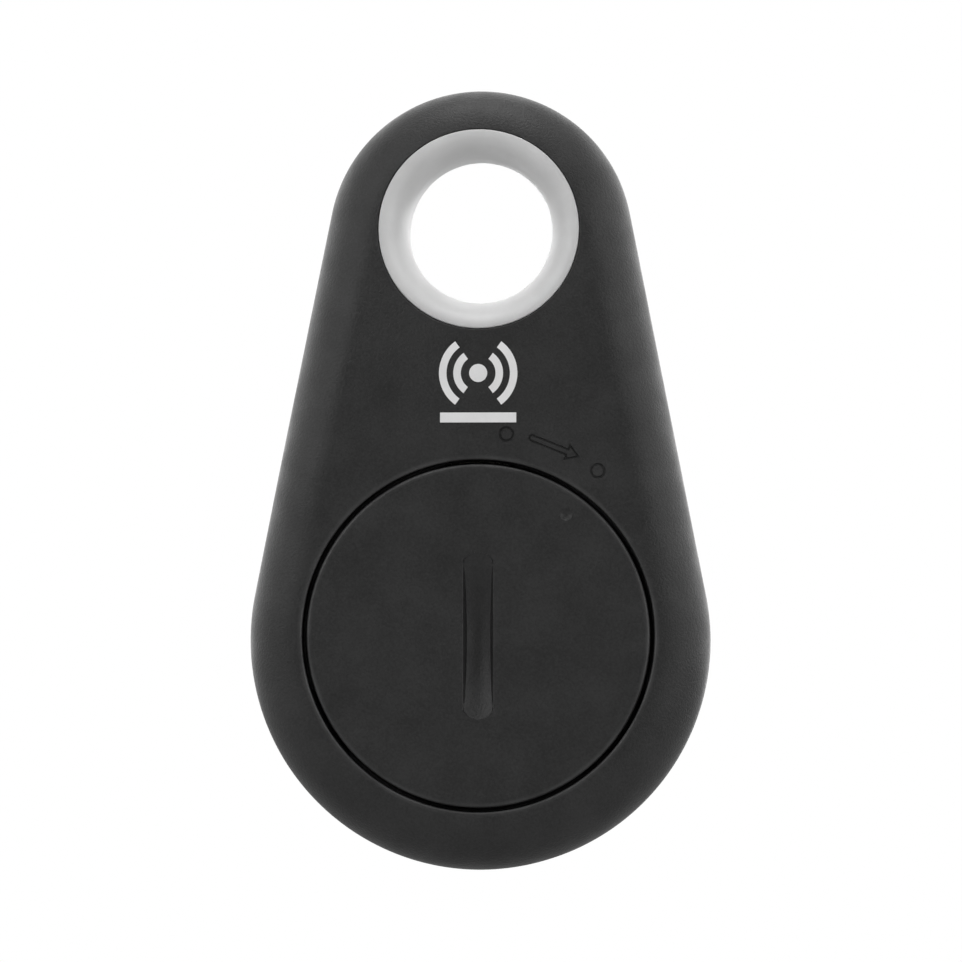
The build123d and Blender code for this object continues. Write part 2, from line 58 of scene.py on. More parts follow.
log = logging.getLogger("tag")

MM = 0.001
Ring = np.ndarray
POINT_SIZE = 1e-4
SKIN_TOLERANCE = 0.006
QUARTER = tuple(np.radians(np.linspace(0, 90, 6)))
SAME_WAY = 0.95
NOISE_SPAN = (0.3, 0.7)
WHOLE = (0.0, 1.0)
WHITE = (1.0, 1.0, 1.0, 1.0)
RUBBED_INSET = 0.08


class Side(Enum):
    """The two faces of the tag, by the sign of their Y."""

    DOOR = -1
    BUTTON = 1


class Cut(Enum):
    """What a boolean does with its tool."""

    JOIN = "UNION"
    CARVE = "DIFFERENCE"


class Ends(Enum):
    """How the first and last rings of a skin are closed."""

    CAPPED = "capped"
    LOOPED = "looped"
    PINCHED = "pinched"


def node_box(node: str) -> tuple[np.ndarray, np.ndarray]:
    """The lowest and highest corner of a CAD node, in millimetres."""
    low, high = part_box(node)
    return np.array(low) / MM, np.array(high) / MM


def middle_z(node: str) -> float:
    """The height of a node's middle, in millimetres."""
    low, high = node_box(node)
    return float(low[2] + high[2]) / 2


def smooth_step(value: np.ndarray, start: float, end: float) -> np.ndarray:
    """A rise from 0 at start to 1 at end, with no corner at either."""
    share = np.clip((value - start) / (end - start), 0.0, 1.0)
    return share * share * (3 - 2 * share)


@dataclass(frozen=True)
class TagForm:
    """The tag's outer form: two round ends joined by tangents, its faces closing in at the tip."""

    door_z: float
    bottom_z: float
    bottom_radius: float
    tip_z: float
    face_y: float
    top_radius: float = 10.13
    tip_face_y: float = 3.5
    edge_radius: float = 3.4
    least_wall: float = 0.25
    wall: float = 1.5
    opening_radius: float = 11.67
    slope_margin: float = 0.8
    crown: float = 0.32
    crown_start_z: float = -17.0
    crown_full_z: float = -7.0
    arc_step: float = 1.5
    side_steps: int = 44

    @classmethod
    def from_frame(cls) -> "TagForm":
        """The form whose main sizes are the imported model's.

        Returns:
            The form.
        """
        low, high = node_box("front_shell")
        return cls(
            door_z=middle_z("cell_can"),
            bottom_z=float(low[2] + high[0]),
            bottom_radius=float(high[0]),
            tip_z=float(high[2]),
            face_y=float(high[1]),
        )

    @property
    def crown_z(self) -> float:
        """The height of the upper round end's centre."""
        return self.tip_z - self.top_radius

    @property
    def slope_start_z(self) -> float:
        """Where the faces begin to close in."""
        return self.door_z + self.opening_radius + self.slope_margin

    @property
    def slope_radius(self) -> float:
        """The radius of the arc that the faces follow towards the tip.

        Returns:
            The radius.
        """
        run = self.tip_z - self.slope_start_z
        drop = self.face_y - self.tip_face_y
        return (run**2 + drop**2) / (2 * drop)

    @property
    def lean(self) -> float:
        """The angle of the straight sides to the tag's length."""
        return math.asin((self.bottom_radius - self.top_radius) / (self.crown_z - self.bottom_z))

    def height(self, x: np.ndarray, z: np.ndarray) -> np.ndarray:
        """The distance of a face from the parting plane, before its edge is rounded.

        Args:
            x: Places across the tag.
            z: Places along it.

        Returns:
            The heights, always positive.
        """
        run = np.maximum(z - self.slope_start_z, 0.0)
        fall = self.slope_radius - np.sqrt(self.slope_radius**2 - run**2)
        share = smooth_step(z, self.crown_start_z, self.crown_full_z)
        return self.face_y - fall - self.crown * share * (x / self.top_radius) ** 2

    def slope(self, x: np.ndarray, z: np.ndarray) -> tuple[np.ndarray, np.ndarray]:
        """How steeply the face's height changes across and along the tag.

        Args:
            x: Places across the tag.
            z: Places along it.

        Returns:
            The change across and the change along, for each place.
        """
        step = 0.01
        across = (self.height(x + step, z) - self.height(x - step, z)) / (2 * step)
        along = (self.height(x, z + step) - self.height(x, z - step)) / (2 * step)
        return across, along

    def rays(self) -> tuple[np.ndarray, np.ndarray, np.ndarray]:
        """The outline as rays that start on the tag's centre line.

        Returns:
            For each ray its angle from +X, the height of its start and its length.
        """
        lean = self.lean
        top = np.linspace(lean, math.pi - lean, int(math.degrees(math.pi - 2 * lean) / self.arc_step))
        low = np.linspace(
            math.pi - lean, 2 * math.pi + lean, int(math.degrees(math.pi + 2 * lean) / self.arc_step)
        )
        share = np.linspace(0, 1, self.side_steps + 1)[1:-1]
        rise = self.bottom_z + share * (self.crown_z - self.bottom_z)
        reach = self.bottom_radius + share * (self.top_radius - self.bottom_radius)
        angle = np.concatenate([np.full(share.size, lean), top, np.full(share.size, math.pi - lean), low])
        start = np.concatenate(
            [rise, np.full(top.size, self.crown_z), rise[::-1], np.full(low.size, self.bottom_z)]
        )
        length = np.concatenate(
            [reach, np.full(top.size, self.top_radius), reach[::-1], np.full(low.size, self.bottom_radius)]
        )
        return angle, start, length

    def outward(self, points: np.ndarray) -> tuple[np.ndarray, np.ndarray]:
        """The direction to the nearest edge of the outline and the distance to it.

        Args:
            points: Places as rows of X and Z.

        Returns:
            Unit vectors in X and Z, and distances, which are positive inside.
        """
        lean = self.lean
        side = np.where(points[:, 0] < 0, -1.0, 1.0)
        x, z = np.abs(points[:, 0]), points[:, 1]
        foot = z - x * math.tan(lean)
        foot = np.clip(foot, self.bottom_z, self.crown_z)
        share = (foot - self.bottom_z) / (self.crown_z - self.bottom_z)
        reach = self.bottom_radius + share * (self.top_radius - self.bottom_radius)
        spread = np.stack([x, z - foot], axis=1)
        length = np.linalg.norm(spread, axis=1)
        unit = spread / np.maximum(length, 1e-9)[:, None]
        unit[:, 0] *= side
        return unit, reach - length

    def round_radius(self, x: np.ndarray, z: np.ndarray) -> np.ndarray:
        """The radius of the outer edge's rounding, which leaves a little upright wall."""
        return np.minimum(self.edge_radius, self.height(x, z) - self.least_wall)

    def normals(self, points: np.ndarray, side: Side) -> np.ndarray:
        """The exact surface normals of places on the outer skin.

        Args:
            points: Places in millimetres, as rows of X, Y and Z.
            side: The face that they belong to.

        Returns:
            Unit normals, one row each.
        """
        flat = points[:, [0, 2]]
        unit, depth = self.outward(flat)
        edge = flat + unit * depth[:, None]
        radius = self.round_radius(edge[:, 0], edge[:, 1])
        lean = np.clip((radius - depth) / radius, 0.0, 1.0)
        up = np.sqrt(1 - lean**2)
        across, along = self.slope(points[:, 0], points[:, 2])
        made = np.stack(
            [
                lean * unit[:, 0] - up * across,
                side.value * up,
                lean * unit[:, 1] - up * along,
            ],
            axis=1,
        )
        return made / np.linalg.norm(made, axis=1, keepdims=True)

    def skin(self, x: np.ndarray, z: np.ndarray) -> tuple[np.ndarray, np.ndarray, np.ndarray]:
        """The outer skin with its edge rounded.

        Args:
            x: Places across the tag.
            z: Places along it.

        Returns:
            The skin's height, the distance from the outline, and the height where the rounding ends.
        """
        flat = np.stack([x, z], axis=1)
        unit, depth = self.outward(flat)
        edge = flat + unit * depth[:, None]
        radius = self.round_radius(edge[:, 0], edge[:, 1])
        share = np.clip((radius - depth) / radius, 0.0, 1.0)
        height = self.height(x, z)
        return height - radius * (1 - np.sqrt(1 - share**2)), depth, height - radius

    def on_skin(self, points: np.ndarray, side: Side) -> np.ndarray:
        """Whether places lie on the outer skin of a face, its rounded edge or its upright wall.

        Args:
            points: Places in millimetres, as rows of X, Y and Z.
            side: The face that they may belong to.

        Returns:
            True for each place that does.
        """
        skin, depth, low = self.skin(points[:, 0], points[:, 2])
        rise = side.value * points[:, 1]
        on_wall = (np.abs(depth) < SKIN_TOLERANCE) & (rise < low + SKIN_TOLERANCE) & (rise > 0)
        return (np.abs(rise - skin) < SKIN_TOLERANCE) | on_wall


def make_object(name: str, points: np.ndarray, faces: Sequence[Sequence[int]]) -> bpy.types.Object:
    """A mesh object in the scene, with doubled points merged and its faces turned outward.

    Args:
        name: The object's name.
        points: Vertices in millimetres.
        faces: Vertex numbers of each face.

    Returns:
        The new object.
    """
    mesh = bpy.data.meshes.new(name)
    mesh.from_pydata([tuple(p) for p in points], [], [tuple(f) for f in faces])
    work = bmesh.new()
    work.from_mesh(mesh)
    bmesh.ops.remove_doubles(work, verts=work.verts, dist=1e-5)
    bmesh.ops.dissolve_degenerate(work, edges=work.edges, dist=1e-6)
    bmesh.ops.recalc_face_normals(work, faces=work.faces)
    work.to_mesh(mesh)
    work.free()
    made = bpy.data.objects.new(name, mesh)
    bpy.context.scene.collection.objects.link(made)
    return made


def skin_rings(name: str, rings: Sequence[Ring], ends: Ends = Ends.CAPPED) -> bpy.types.Object:
    """A solid skinned over rings that all have the same number of points.

    Args:
        name: The object's name.
        rings: Rings of points in millimetres, from one end of the solid to the other.
        ends: Whether the end rings get a face each, join each other, or are pinched shut already.

    Returns:
        The new object.
    """
    count = len(rings[0])
    pairs = len(rings) if ends is Ends.LOOPED else len(rings) - 1
    faces: list[list[int]] = []
    for i in range(pairs):
        a, b = i * count, (i + 1) % len(rings) * count
        for k in range(count):
            n = (k + 1) % count
            faces.append([a + k, a + n, b + n, b + k])
    if ends is Ends.CAPPED:
        for i, ring in ((0, rings[0]), (len(rings) - 1, rings[-1])):
            if np.ptp(ring, axis=0).max() > POINT_SIZE:
                faces.append([i * count + k for k in range(count)])
    return make_object(name, np.vstack(rings), faces)


def lathe(
    name: str,
    profile: Sequence[tuple[float, float]],
    x: float = 0.0,
    z: float = 0.0,
    steps: int = 240,
    ends: Ends = Ends.CAPPED,
) -> bpy.types.Object:
    """A solid turned about a Y axis.

    Args:
        name: The object's name.
        profile: Radius and Y of each point of the section, in millimetres.
        x: Where the axis is across the tag.
        z: Where the axis is along the tag.
        steps: How many segments go round.
        ends: LOOPED where the section is a closed loop, as for a ring.

    Returns:
        The new object.
    """
    angle = np.linspace(0, 2 * math.pi, steps, endpoint=False)
    rings = [
        np.stack([x + r * np.cos(angle), np.full(steps, y), z + r * np.sin(angle)], axis=1)
        for r, y in profile
    ]
    return skin_rings(name, rings, ends)


def arc(
    centre: tuple[float, float], radius: float, start: float, end: float, steps: int = 6
) -> list[tuple[float, float]]:
    """Points along an arc of a section, its angles in degrees from the first axis."""
    angles = np.radians(np.linspace(start, end, steps + 1))
    return [(centre[0] + radius * math.cos(a), centre[1] + radius * math.sin(a)) for a in angles]


def prism(name: str, outline: Sequence[tuple[float, float]], low: float, high: float) -> bpy.types.Object:
    """A flat outline in X and Z given thickness between two depths.

    Args:
        name: The object's name.
        outline: X and Z of each corner, in millimetres.
        low: The depth that it starts at.
        high: The depth that it ends at.

    Returns:
        The new object.
    """
    base = np.array(outline)
    rings = [np.stack([base[:, 0], np.full(len(base), y), base[:, 1]], axis=1) for y in (low, high)]
    return skin_rings(name, rings)


def flatten_shading(piece: bpy.types.Object, y: float) -> None:
    """Shades the flat face that a piece has at a depth as exactly flat.

    Args:
        piece: The piece, in millimetres.
        y: The depth of its flat face.
    """
    mesh = piece.data
    made = np.zeros((len(mesh.loops), 3))
    for face in mesh.polygons:
        level = all(abs(mesh.vertices[v].co.y - y) < POINT_SIZE for v in face.vertices)
        if level:
            for loop in face.loop_indices:
                made[loop] = (0.0, math.copysign(1.0, y), 0.0)
    mesh.normals_split_custom_set([tuple(n) for n in made])


def boolean(target: bpy.types.Object, tool: bpy.types.Object, cut: Cut) -> None:
    """Joins or carves target with tool, and removes the tool.

    Args:
        target: The object that changes.
        tool: The object that is used up.
        cut: What to do.
    """
    modifier = target.modifiers.new("cut", "BOOLEAN")
    modifier.operation = cut.value
    modifier.solver = "EXACT"
    modifier.object = tool
    graph = bpy.context.evaluated_depsgraph_get()
    mesh = bpy.data.meshes.new_from_object(target.evaluated_get(graph), depsgraph=graph)
    target.modifiers.clear()
    target.data = mesh
    bpy.data.objects.remove(tool)


def clock(angle: float, radius: float, form: TagForm) -> tuple[float, float]:
    """X and Z of a place round the door's centre, its angle in degrees clockwise from straight up."""
    turn = math.radians(angle)
    return radius * math.sin(turn), form.door_z + radius * math.cos(turn)


def hole_cutter(form: TagForm, side: Side, x: float, z: float, radius: float, rim: float) -> bpy.types.Object:
    """A round cutter along Y that leaves a small rounding where it meets the tag's face.

    Args:
        form: The tag's outer form.
        side: The face that the hole is in.
        x: The hole's centre across the tag.
        z: Its centre along the tag.
        radius: Its radius.
        rim: The radius of the rounding at its mouth.

    Returns:
        The cutter.
    """
    angle = np.linspace(0, 2 * math.pi, 180, endpoint=False)
    rings = []
    for grow, sink in [(rim, -form.wall), *rim_steps(rim), (0.0, form.face_y + form.wall)]:
        px, pz = x + (radius + grow) * np.cos(angle), z + (radius + grow) * np.sin(angle)
        rings.append(np.stack([px, side.value * (form.height(px, pz) - sink), pz], axis=1))
    return skin_rings("cutter", rings)


def rim_steps(rim: float, steps: int = 5) -> list[tuple[float, float]]:
    """How much a hole's rounding widens it, and how deep, from the face down to the hole's wall."""
    angles = np.radians(np.linspace(0, 90, steps + 1))
    return [(rim * (1 - math.sin(a)), rim * (1 - math.cos(a))) for a in angles]


@dataclass
class Shell(ABC):
    """One half of the casing, skinned over rings that follow the outline inward from its edge."""

    form: TagForm
    side: Side
    name: str
    groove: float = 0.12
    lip_inset: float = 0.85
    lip_height: float = 0.8
    rebate_inset: float = 0.8
    rebate_depth: float = 0.85
    face_rings: int = 14
    round_rings: int = 18
    seat_bore: float = 6.7
    seat_radius: float = 9.0
    seat_low: float = 0.84
    rim: float = 0.12

    def ring(self, inset: np.ndarray | float, drop: np.ndarray | float, base: float | None = None) -> Ring:
        """One ring of the skin.

        Args:
            inset: How far it lies inside the outline, at each ray.
            drop: How far it lies below the face's height.
            base: Its height instead, where the ring is level.

        Returns:
            The ring's points.
        """
        angle, start, length = self.form.rays()
        x = (length - inset) * np.cos(angle)
        z = start + (length - inset) * np.sin(angle)
        height = self.form.height(x, z) - drop if base is None else np.full(x.size, base)
        return np.stack([x, self.side.value * height, z], axis=1)

    def outer_rings(self) -> list[Ring]:
        """The outer skin, from the centre line to the outer edge and down to the parting groove.

        Returns:
            The rings, in order.
        """
        angle, start, length = self.form.rays()
        radius = self.form.round_radius(length * np.cos(angle), start + length * np.sin(angle))
        rings = [self.ring(radius + s * (length - radius), 0.0) for s in np.linspace(1, 0, self.face_rings)]
        for turn in np.radians(np.linspace(0, 90, self.round_rings + 1)[1:]):
            rings.append(self.ring(radius * (1 - math.sin(turn)), radius * (1 - math.cos(turn))))
        edge = rings[-1]
        level = self.ring(0.0, 0.0, self.groove)
        rings += [edge + s * (level - edge) for s in (0.5, 1.0)]
        return rings + [self.ring(self.groove, 0.0, self.groove), self.ring(self.groove, 0.0, 0.0)]

    def joint_rings(self) -> list[Ring]:
        """The rings of the lip or the rebate where the two shells meet.

        Returns:
            The rings, in order.
        """
        wall = self.form.wall
        if self.side is Side.DOOR:
            steps = [(self.lip_inset, 0.0), (self.lip_inset, -self.lip_height), (wall, -self.lip_height)]
        else:
            steps = [(self.rebate_inset, 0.0), (self.rebate_inset, self.rebate_depth)]
            steps.append((wall, self.rebate_depth))
        return [self.ring(inset, 0.0, base) for inset, base in steps]

    def inner_rings(self) -> list[Ring]:
        """The inner skin, from the joint up the wall and back to the centre line.

        Returns:
            The rings, in order.
        """
        wall = self.form.wall
        angle, start, length = self.form.rays()
        outer = self.form.round_radius(length * np.cos(angle), start + length * np.sin(angle))
        radius = outer - wall
        rings = []
        for turn in np.radians(np.linspace(90, 0, self.round_rings // 2 + 1)):
            inset = wall + radius * (1 - math.sin(turn))
            rings.append(self.ring(inset, wall + radius * (1 - math.cos(turn))))
        for share in np.linspace(0, 1, self.face_rings)[1:]:
            rings.append(self.ring(wall + radius + share * (length - wall - radius), wall))
        least = -self.lip_height if self.side is Side.DOOR else self.rebate_depth
        for ring in rings:
            ring[:, 1] = self.side.value * np.maximum(self.side.value * ring[:, 1], least)
        return rings

    @abstractmethod
    def build(self) -> bpy.types.Object:
        """The finished shell, in millimetres."""

    def dress(self, dresser: "Dresser") -> None:
        """Builds the shell and gives it its shading and its finish.

        Args:
            dresser: What holds the finishes and hands pieces to their bodies.
        """
        piece = self.build()
        dresser.smooth(piece)
        self.skin_normals(piece)
        dresser.place(piece, self.name, "casing", "shell_plastic")

    def blank(self) -> bpy.types.Object:
        """The shell before its openings are cut."""
        rings = self.outer_rings() + self.joint_rings() + self.inner_rings()
        return skin_rings(self.name, rings, Ends.PINCHED)

    def make_eyelet_seat(self, shell: bpy.types.Object) -> None:
        """Adds the wall that holds the eyelet ring inside the shell, and bores it through.

        Args:
            shell: The shell that gets the seat.
        """
        angle = np.linspace(0, 2 * math.pi, 180, endpoint=False)
        bore = self.seat_bore - self.rim
        edges = [(bore, True), (self.seat_radius, True), (self.seat_radius, False), (bore, False)]
        rings = [self.seat_ring(angle, radius, low) for radius, low in edges]
        boolean(shell, skin_rings("seat", rings, Ends.LOOPED), Cut.JOIN)
        boolean(shell, hole_cutter(self.form, self.side, 0.0, 0.0, self.seat_bore, self.rim), Cut.CARVE)

    def seat_ring(self, angle: np.ndarray, radius: float, low: bool) -> Ring:
        """One edge of the eyelet's seat, either at the ring's collar or inside the shell's face.

        Args:
            angle: The angles of the ring's points.
            radius: Its radius.
            low: Whether it lies at the ring's collar.

        Returns:
            The ring's points.
        """
        x, z = radius * np.cos(angle), radius * np.sin(angle)
        height = self.form.skin(x, z)[0] - self.form.wall / 2
        if low:
            height = np.full(angle.size, self.seat_low)
        return np.stack([x, self.side.value * height, z], axis=1)

    def skin_normals(self, shell: bpy.types.Object) -> None:
        """Gives the outer skin its exact normals, so that the cuts leave no marks in its shading.

        Args:
            shell: The finished shell, in millimetres.
        """
        mesh = shell.data
        points = np.zeros(len(mesh.vertices) * 3)
        mesh.vertices.foreach_get("co", points)
        points = points.reshape(-1, 3)
        exact = self.form.normals(points, self.side)
        on_skin = self.form.on_skin(points, self.side)
        made = np.zeros((len(mesh.loops), 3))
        for face in mesh.polygons:
            turned = exact[face.vertices[0]] @ np.array(face.normal)
            if turned > SAME_WAY and all(on_skin[v] for v in face.vertices):
                for loop in face.loop_indices:
                    made[loop] = exact[mesh.loops[loop].vertex_index]
        mesh.normals_split_custom_set([tuple(n) for n in made])


@dataclass
class BackShell(Shell):
    """The shell with the battery opening and the engraved marks."""

    ledge_bore: float = 11.13
    ledge_y: float = -3.5
    ledge_back_y: float = -2.9
    collar_radius: float = 13.47
    opening_rim: float = 0.16
    lug_count: int = 3
    notch_half_angle: float = 12.0
    notch_radius: float = 11.63
    notch_overlap: float = 0.3
    notch_margin: float = 0.2
    mark_circle: float = 13.47
    mark_angles: tuple[float, float] = (8.0, 36.0)
    mark_depth: float = 0.1
    mark_outer: float = 0.54
    mark_line: float = 0.2
    mark_draught: float = 0.08
    arrow_length: float = 3.7
    arrow_shaft: float = 0.53
    arrow_head: tuple[float, float] = (1.0, 1.25)
    arrow_line: float = 0.16

    def build(self) -> bpy.types.Object:
        """The finished shell, in millimetres.

        Returns:
            The piece, ready to be shaded.
        """
        form = self.form
        shell = self.blank()
        collar = [
            (self.ledge_bore, -form.face_y + form.wall / 2),
            (self.collar_radius, -form.face_y + form.wall / 2),
            (self.collar_radius, self.ledge_back_y),
            (self.ledge_bore, self.ledge_back_y),
        ]
        boolean(shell, lathe("collar", collar, z=form.door_z, ends=Ends.LOOPED), Cut.JOIN)
        boolean(shell, self.opening(), Cut.CARVE)
        for i in range(self.lug_count):
            boolean(shell, self.notch(360 * i / self.lug_count), Cut.CARVE)
        self.make_eyelet_seat(shell)
        for angle in self.mark_angles:
            boolean(shell, self.ring_mark(angle), Cut.CARVE)
        boolean(shell, self.arrow_mark(), Cut.CARVE)
        return shell

    def opening(self) -> bpy.types.Object:
        """The cutter for the door's opening and the ledge inside it.

        Returns:
            The cutter.
        """
        form, rim = self.form, self.opening_rim
        mouth = [(form.opening_radius + grow, sink - form.face_y) for grow, sink in rim_steps(rim)]
        profile = [
            (form.opening_radius + rim, -2 * form.face_y),
            *mouth,
            (form.opening_radius, self.ledge_y),
            (self.ledge_bore, self.ledge_y),
            (self.ledge_bore, -form.wall),
        ]
        return lathe("cutter", profile, z=form.door_z, steps=300)

    def notch(self, angle: float) -> bpy.types.Object:
        """The cutter for one bayonet notch in the ledge.

        Args:
            angle: Where its middle is, in degrees clockwise from straight up.

        Returns:
            The cutter.
        """
        turns = np.linspace(-self.notch_half_angle, self.notch_half_angle, 9)
        outer = [clock(angle + t, self.notch_radius, self.form) for t in turns]
        inner = [clock(angle + t, self.ledge_bore - self.notch_overlap, self.form) for t in turns[::-1]]
        low, high = self.ledge_y - self.notch_margin, self.ledge_back_y + self.notch_margin
        return prism("cutter", outer + inner, low, high)

    def mark_depths(self) -> tuple[float, float]:
        """The depths between which a mark's cutter lies."""
        return -self.form.face_y - self.mark_depth, -self.form.face_y + self.mark_depth

    def ring_mark(self, angle: float) -> bpy.types.Object:
        """The cutter for one engraved ring.

        Args:
            angle: Where its middle is, in degrees clockwise from straight up.

        Returns:
            The cutter.
        """
        x, z = clock(angle, self.mark_circle, self.form)
        low, high = self.mark_depths()
        inner, outer, draught = self.mark_outer - self.mark_line, self.mark_outer, self.mark_draught
        profile = [(inner - draught, low), (outer + draught, low), (outer - draught, high)]
        profile.append((inner + draught, high))
        return lathe("cutter", profile, x, z, steps=48, ends=Ends.LOOPED)

    def arrow_outline(self, shrink: float) -> list[tuple[float, float]]:
        """The arrow's outline about its middle, pointing along +X and pulled in by a shrink.

        Args:
            shrink: How far the outline is pulled in.

        Returns:
            X and Z of each corner.
        """
        head_length, head_width = self.arrow_head
        half = self.arrow_length / 2
        shaft = self.arrow_shaft / 2 - shrink
        slope = math.atan2(head_width / 2, head_length)
        neck = half - head_length + shrink
        tip = half - shrink / math.sin(slope)
        flare = (tip - neck) * math.tan(slope)
        tail = arc((-half + self.arrow_shaft / 2, 0.0), shaft, 90, 270, 10)
        return [*tail, (neck, -shaft), (neck, -flare), (tip, 0.0), (neck, flare), (neck, shaft)]

    def arrow_mark(self) -> bpy.types.Object:
        """The cutter for the engraved arrow, whose middle is left standing.

        Returns:
            The cutter.
        """
        middle = sum(self.mark_angles) / 2
        x, z = clock(middle, self.mark_circle, self.form)
        turn = math.radians(-middle)
        rings = []
        draught, inner = self.mark_draught * self.arrow_line / self.mark_line, self.arrow_line
        for shrink, level in ((-draught, 0), (draught, 1), (inner - draught, 1), (inner + draught, 0)):
            line = np.array(self.arrow_outline(shrink))
            px = x + line[:, 0] * math.cos(turn) - line[:, 1] * math.sin(turn)
            pz = z + line[:, 0] * math.sin(turn) + line[:, 1] * math.cos(turn)
            rings.append(np.stack([px, np.full(len(line), self.mark_depths()[level]), pz], axis=1))
        return skin_rings("cutter", rings, Ends.LOOPED)


@dataclass
class FrontShell(Shell):
    """The shell with the push button, the light's window and the sound holes."""

    button_hole: float = 6.7
    button_rim: float = 0.22
    window_hole: float = 0.93
    window_rim: float = 0.08
    sound_hole: float = 0.4
    sound_pitch: float = 1.7
    sound_count: int = 3

    def build(self) -> bpy.types.Object:
        """The finished shell, in millimetres.

        Returns:
            The piece, ready to be shaded.
        """
        shell = self.blank()
        self.make_eyelet_seat(shell)
        holes = [
            (0.0, self.form.door_z, self.button_hole, self.button_rim),
            (0.0, middle_z("light_window"), self.window_hole, self.window_rim),
        ]
        for i in range(self.sound_count):
            x = (i - (self.sound_count - 1) / 2) * self.sound_pitch
            holes.append((x, middle_z("buzzer_lid"), self.sound_hole, self.window_rim))
        for x, z, radius, rim in holes:
            boolean(shell, hole_cutter(self.form, self.side, x, z, radius, rim), Cut.CARVE)
        return shell


@dataclass
class BatteryDoor:
    """The round door with its coin slot, skirt, lugs and the ribs behind it."""

    form: TagForm
    radius: float = 11.37
    thickness: float = 1.5
    rim: float = 0.2
    skirt_outer: float = 10.93
    skirt_inner: float = 10.25
    skirt_end_y: float = -2.14
    lug_outer: float = 11.53
    lug_top_y: float = -2.84
    lug_half_angle: float = 10.0
    lug_count: int = 3
    slot_width: float = 1.95
    slot_length: float = 11.1
    slot_depth: float = 1.05
    slot_edge: float = 0.09
    slot_draught: float = 0.2
    slot_crown: float = 0.2
    slot_steps: int = 81
    dimple_radius: float = 0.42
    dimple_depth: float = 0.16
    dimple_circle: float = 9.92
    dimple_angle: float = 36.0
    rib_length: float = 14.0
    rib_width: float = 1.2
    rib_end_y: float = -3.65

    def build(self) -> bpy.types.Object:
        """The finished door, in millimetres.

        Returns:
            The piece, ready to be shaded.
        """
        face, back = -self.form.face_y, -self.form.face_y + self.thickness
        corner = arc((self.radius - self.rim, face + self.rim), self.rim, -90, 0, 5)
        profile = [
            *corner,
            (self.radius, back),
            (self.skirt_outer, back),
            (self.skirt_outer, self.skirt_end_y),
            (self.skirt_inner, self.skirt_end_y),
            (self.skirt_inner, back),
        ]
        door = lathe("door", profile, z=self.form.door_z, steps=300)
        for i in range(self.lug_count):
            boolean(door, self.lug(360 * i / self.lug_count), Cut.JOIN)
        for width, length in ((self.rib_length, self.rib_width), (self.rib_width, self.rib_length)):
            boolean(door, self.rib(width, length, back), Cut.JOIN)
        boolean(door, self.slot_cutter(), Cut.CARVE)
        boolean(door, self.dimple_cutter(), Cut.CARVE)
        return door

    def dress(self, dresser: "Dresser") -> None:
        """Builds the door and gives it its finish, its outer face shaded flat.

        Args:
            dresser: What holds the finishes and hands pieces to their bodies.
        """
        piece = self.build()
        dresser.smooth(piece)
        flatten_shading(piece, -self.form.face_y)
        dresser.place(piece, "battery_door", "door", "door_plastic")

    def lug(self, angle: float) -> bpy.types.Object:
        """One bayonet lug on the skirt.

        Args:
            angle: Where its middle is, in degrees clockwise from straight up.

        Returns:
            The lug.
        """
        turns = np.linspace(-self.lug_half_angle, self.lug_half_angle, 9)
        outer = [clock(angle + t, self.lug_outer, self.form) for t in turns]
        middle = (self.skirt_inner + self.skirt_outer) / 2
        inner = [clock(angle + t, middle, self.form) for t in turns[::-1]]
        return prism("lug", outer + inner, self.lug_top_y, self.skirt_end_y)

    def rib(self, width: float, length: float, back: float) -> bpy.types.Object:
        """One of the two crossed ribs behind the door.

        Args:
            width: Its size across the tag.
            length: Its size along the tag.
            back: The depth of the door's back.

        Returns:
            The rib.
        """
        x, z = width / 2, length / 2
        corners = [(-x, self.form.door_z - z), (x, self.form.door_z - z)]
        corners += [(x, self.form.door_z + z), (-x, self.form.door_z + z)]
        return prism("rib", corners, back - self.rim, self.rib_end_y)

    def slot_cutter(self) -> bpy.types.Object:
        """A coin-shaped cutter, so that the slot's floor is an arc and its long edges are soft.

        Returns:
            The cutter.
        """
        radius = (self.slot_length**2 / 4 + self.slot_depth**2) / (2 * self.slot_depth)
        sections = []
        for along in np.linspace(-self.slot_length / 2, self.slot_length / 2, self.slot_steps):
            depth = math.sqrt(radius**2 - along**2) - radius + self.slot_depth
            sections.append(self.slot_section(self.form.door_z + along, max(depth, 0.0)))
        return skin_rings("cutter", sections)

    def slot_section(self, z: float, depth: float) -> Ring:
        """The slot's cut across its width, with a rounding at its mouth and in its corners.

        Args:
            z: Where along the slot.
            depth: How deep the slot is there.

        Returns:
            The section's points.
        """
        crown = min(self.slot_crown, depth)
        narrowing = math.sqrt(depth / self.slot_crown) if depth < self.slot_crown else 1.0
        half, edge = self.slot_width / 2 * narrowing, min(self.slot_edge, depth / 3)
        foot = half - self.slot_draught * depth / self.slot_depth
        mouth = [(half + edge * (1 - math.sin(a)), edge * (1 - math.cos(a))) for a in QUARTER]
        floor = [(foot * s, depth - crown * s**2) for s in np.linspace(1.0, 0.0, 10)[:-1]]
        side = [(half + edge, -self.thickness), *mouth, *floor]
        whole = side + [(0.0, depth)] + [(-x, y) for x, y in side[::-1]]
        return np.array([[x, y - self.form.face_y, z] for x, y in whole])

    def dimple_cutter(self) -> bpy.types.Object:
        """A ball that leaves the shallow dimple.

        Returns:
            The cutter.
        """
        radius = (self.dimple_radius**2 + self.dimple_depth**2) / (2 * self.dimple_depth)
        x, z = clock(self.dimple_angle, self.dimple_circle, self.form)
        middle = self.dimple_depth - self.form.face_y - radius
        profile = arc((0.0, middle), radius, -90, 90, 36)
        return lathe("cutter", profile, x, z, steps=48)


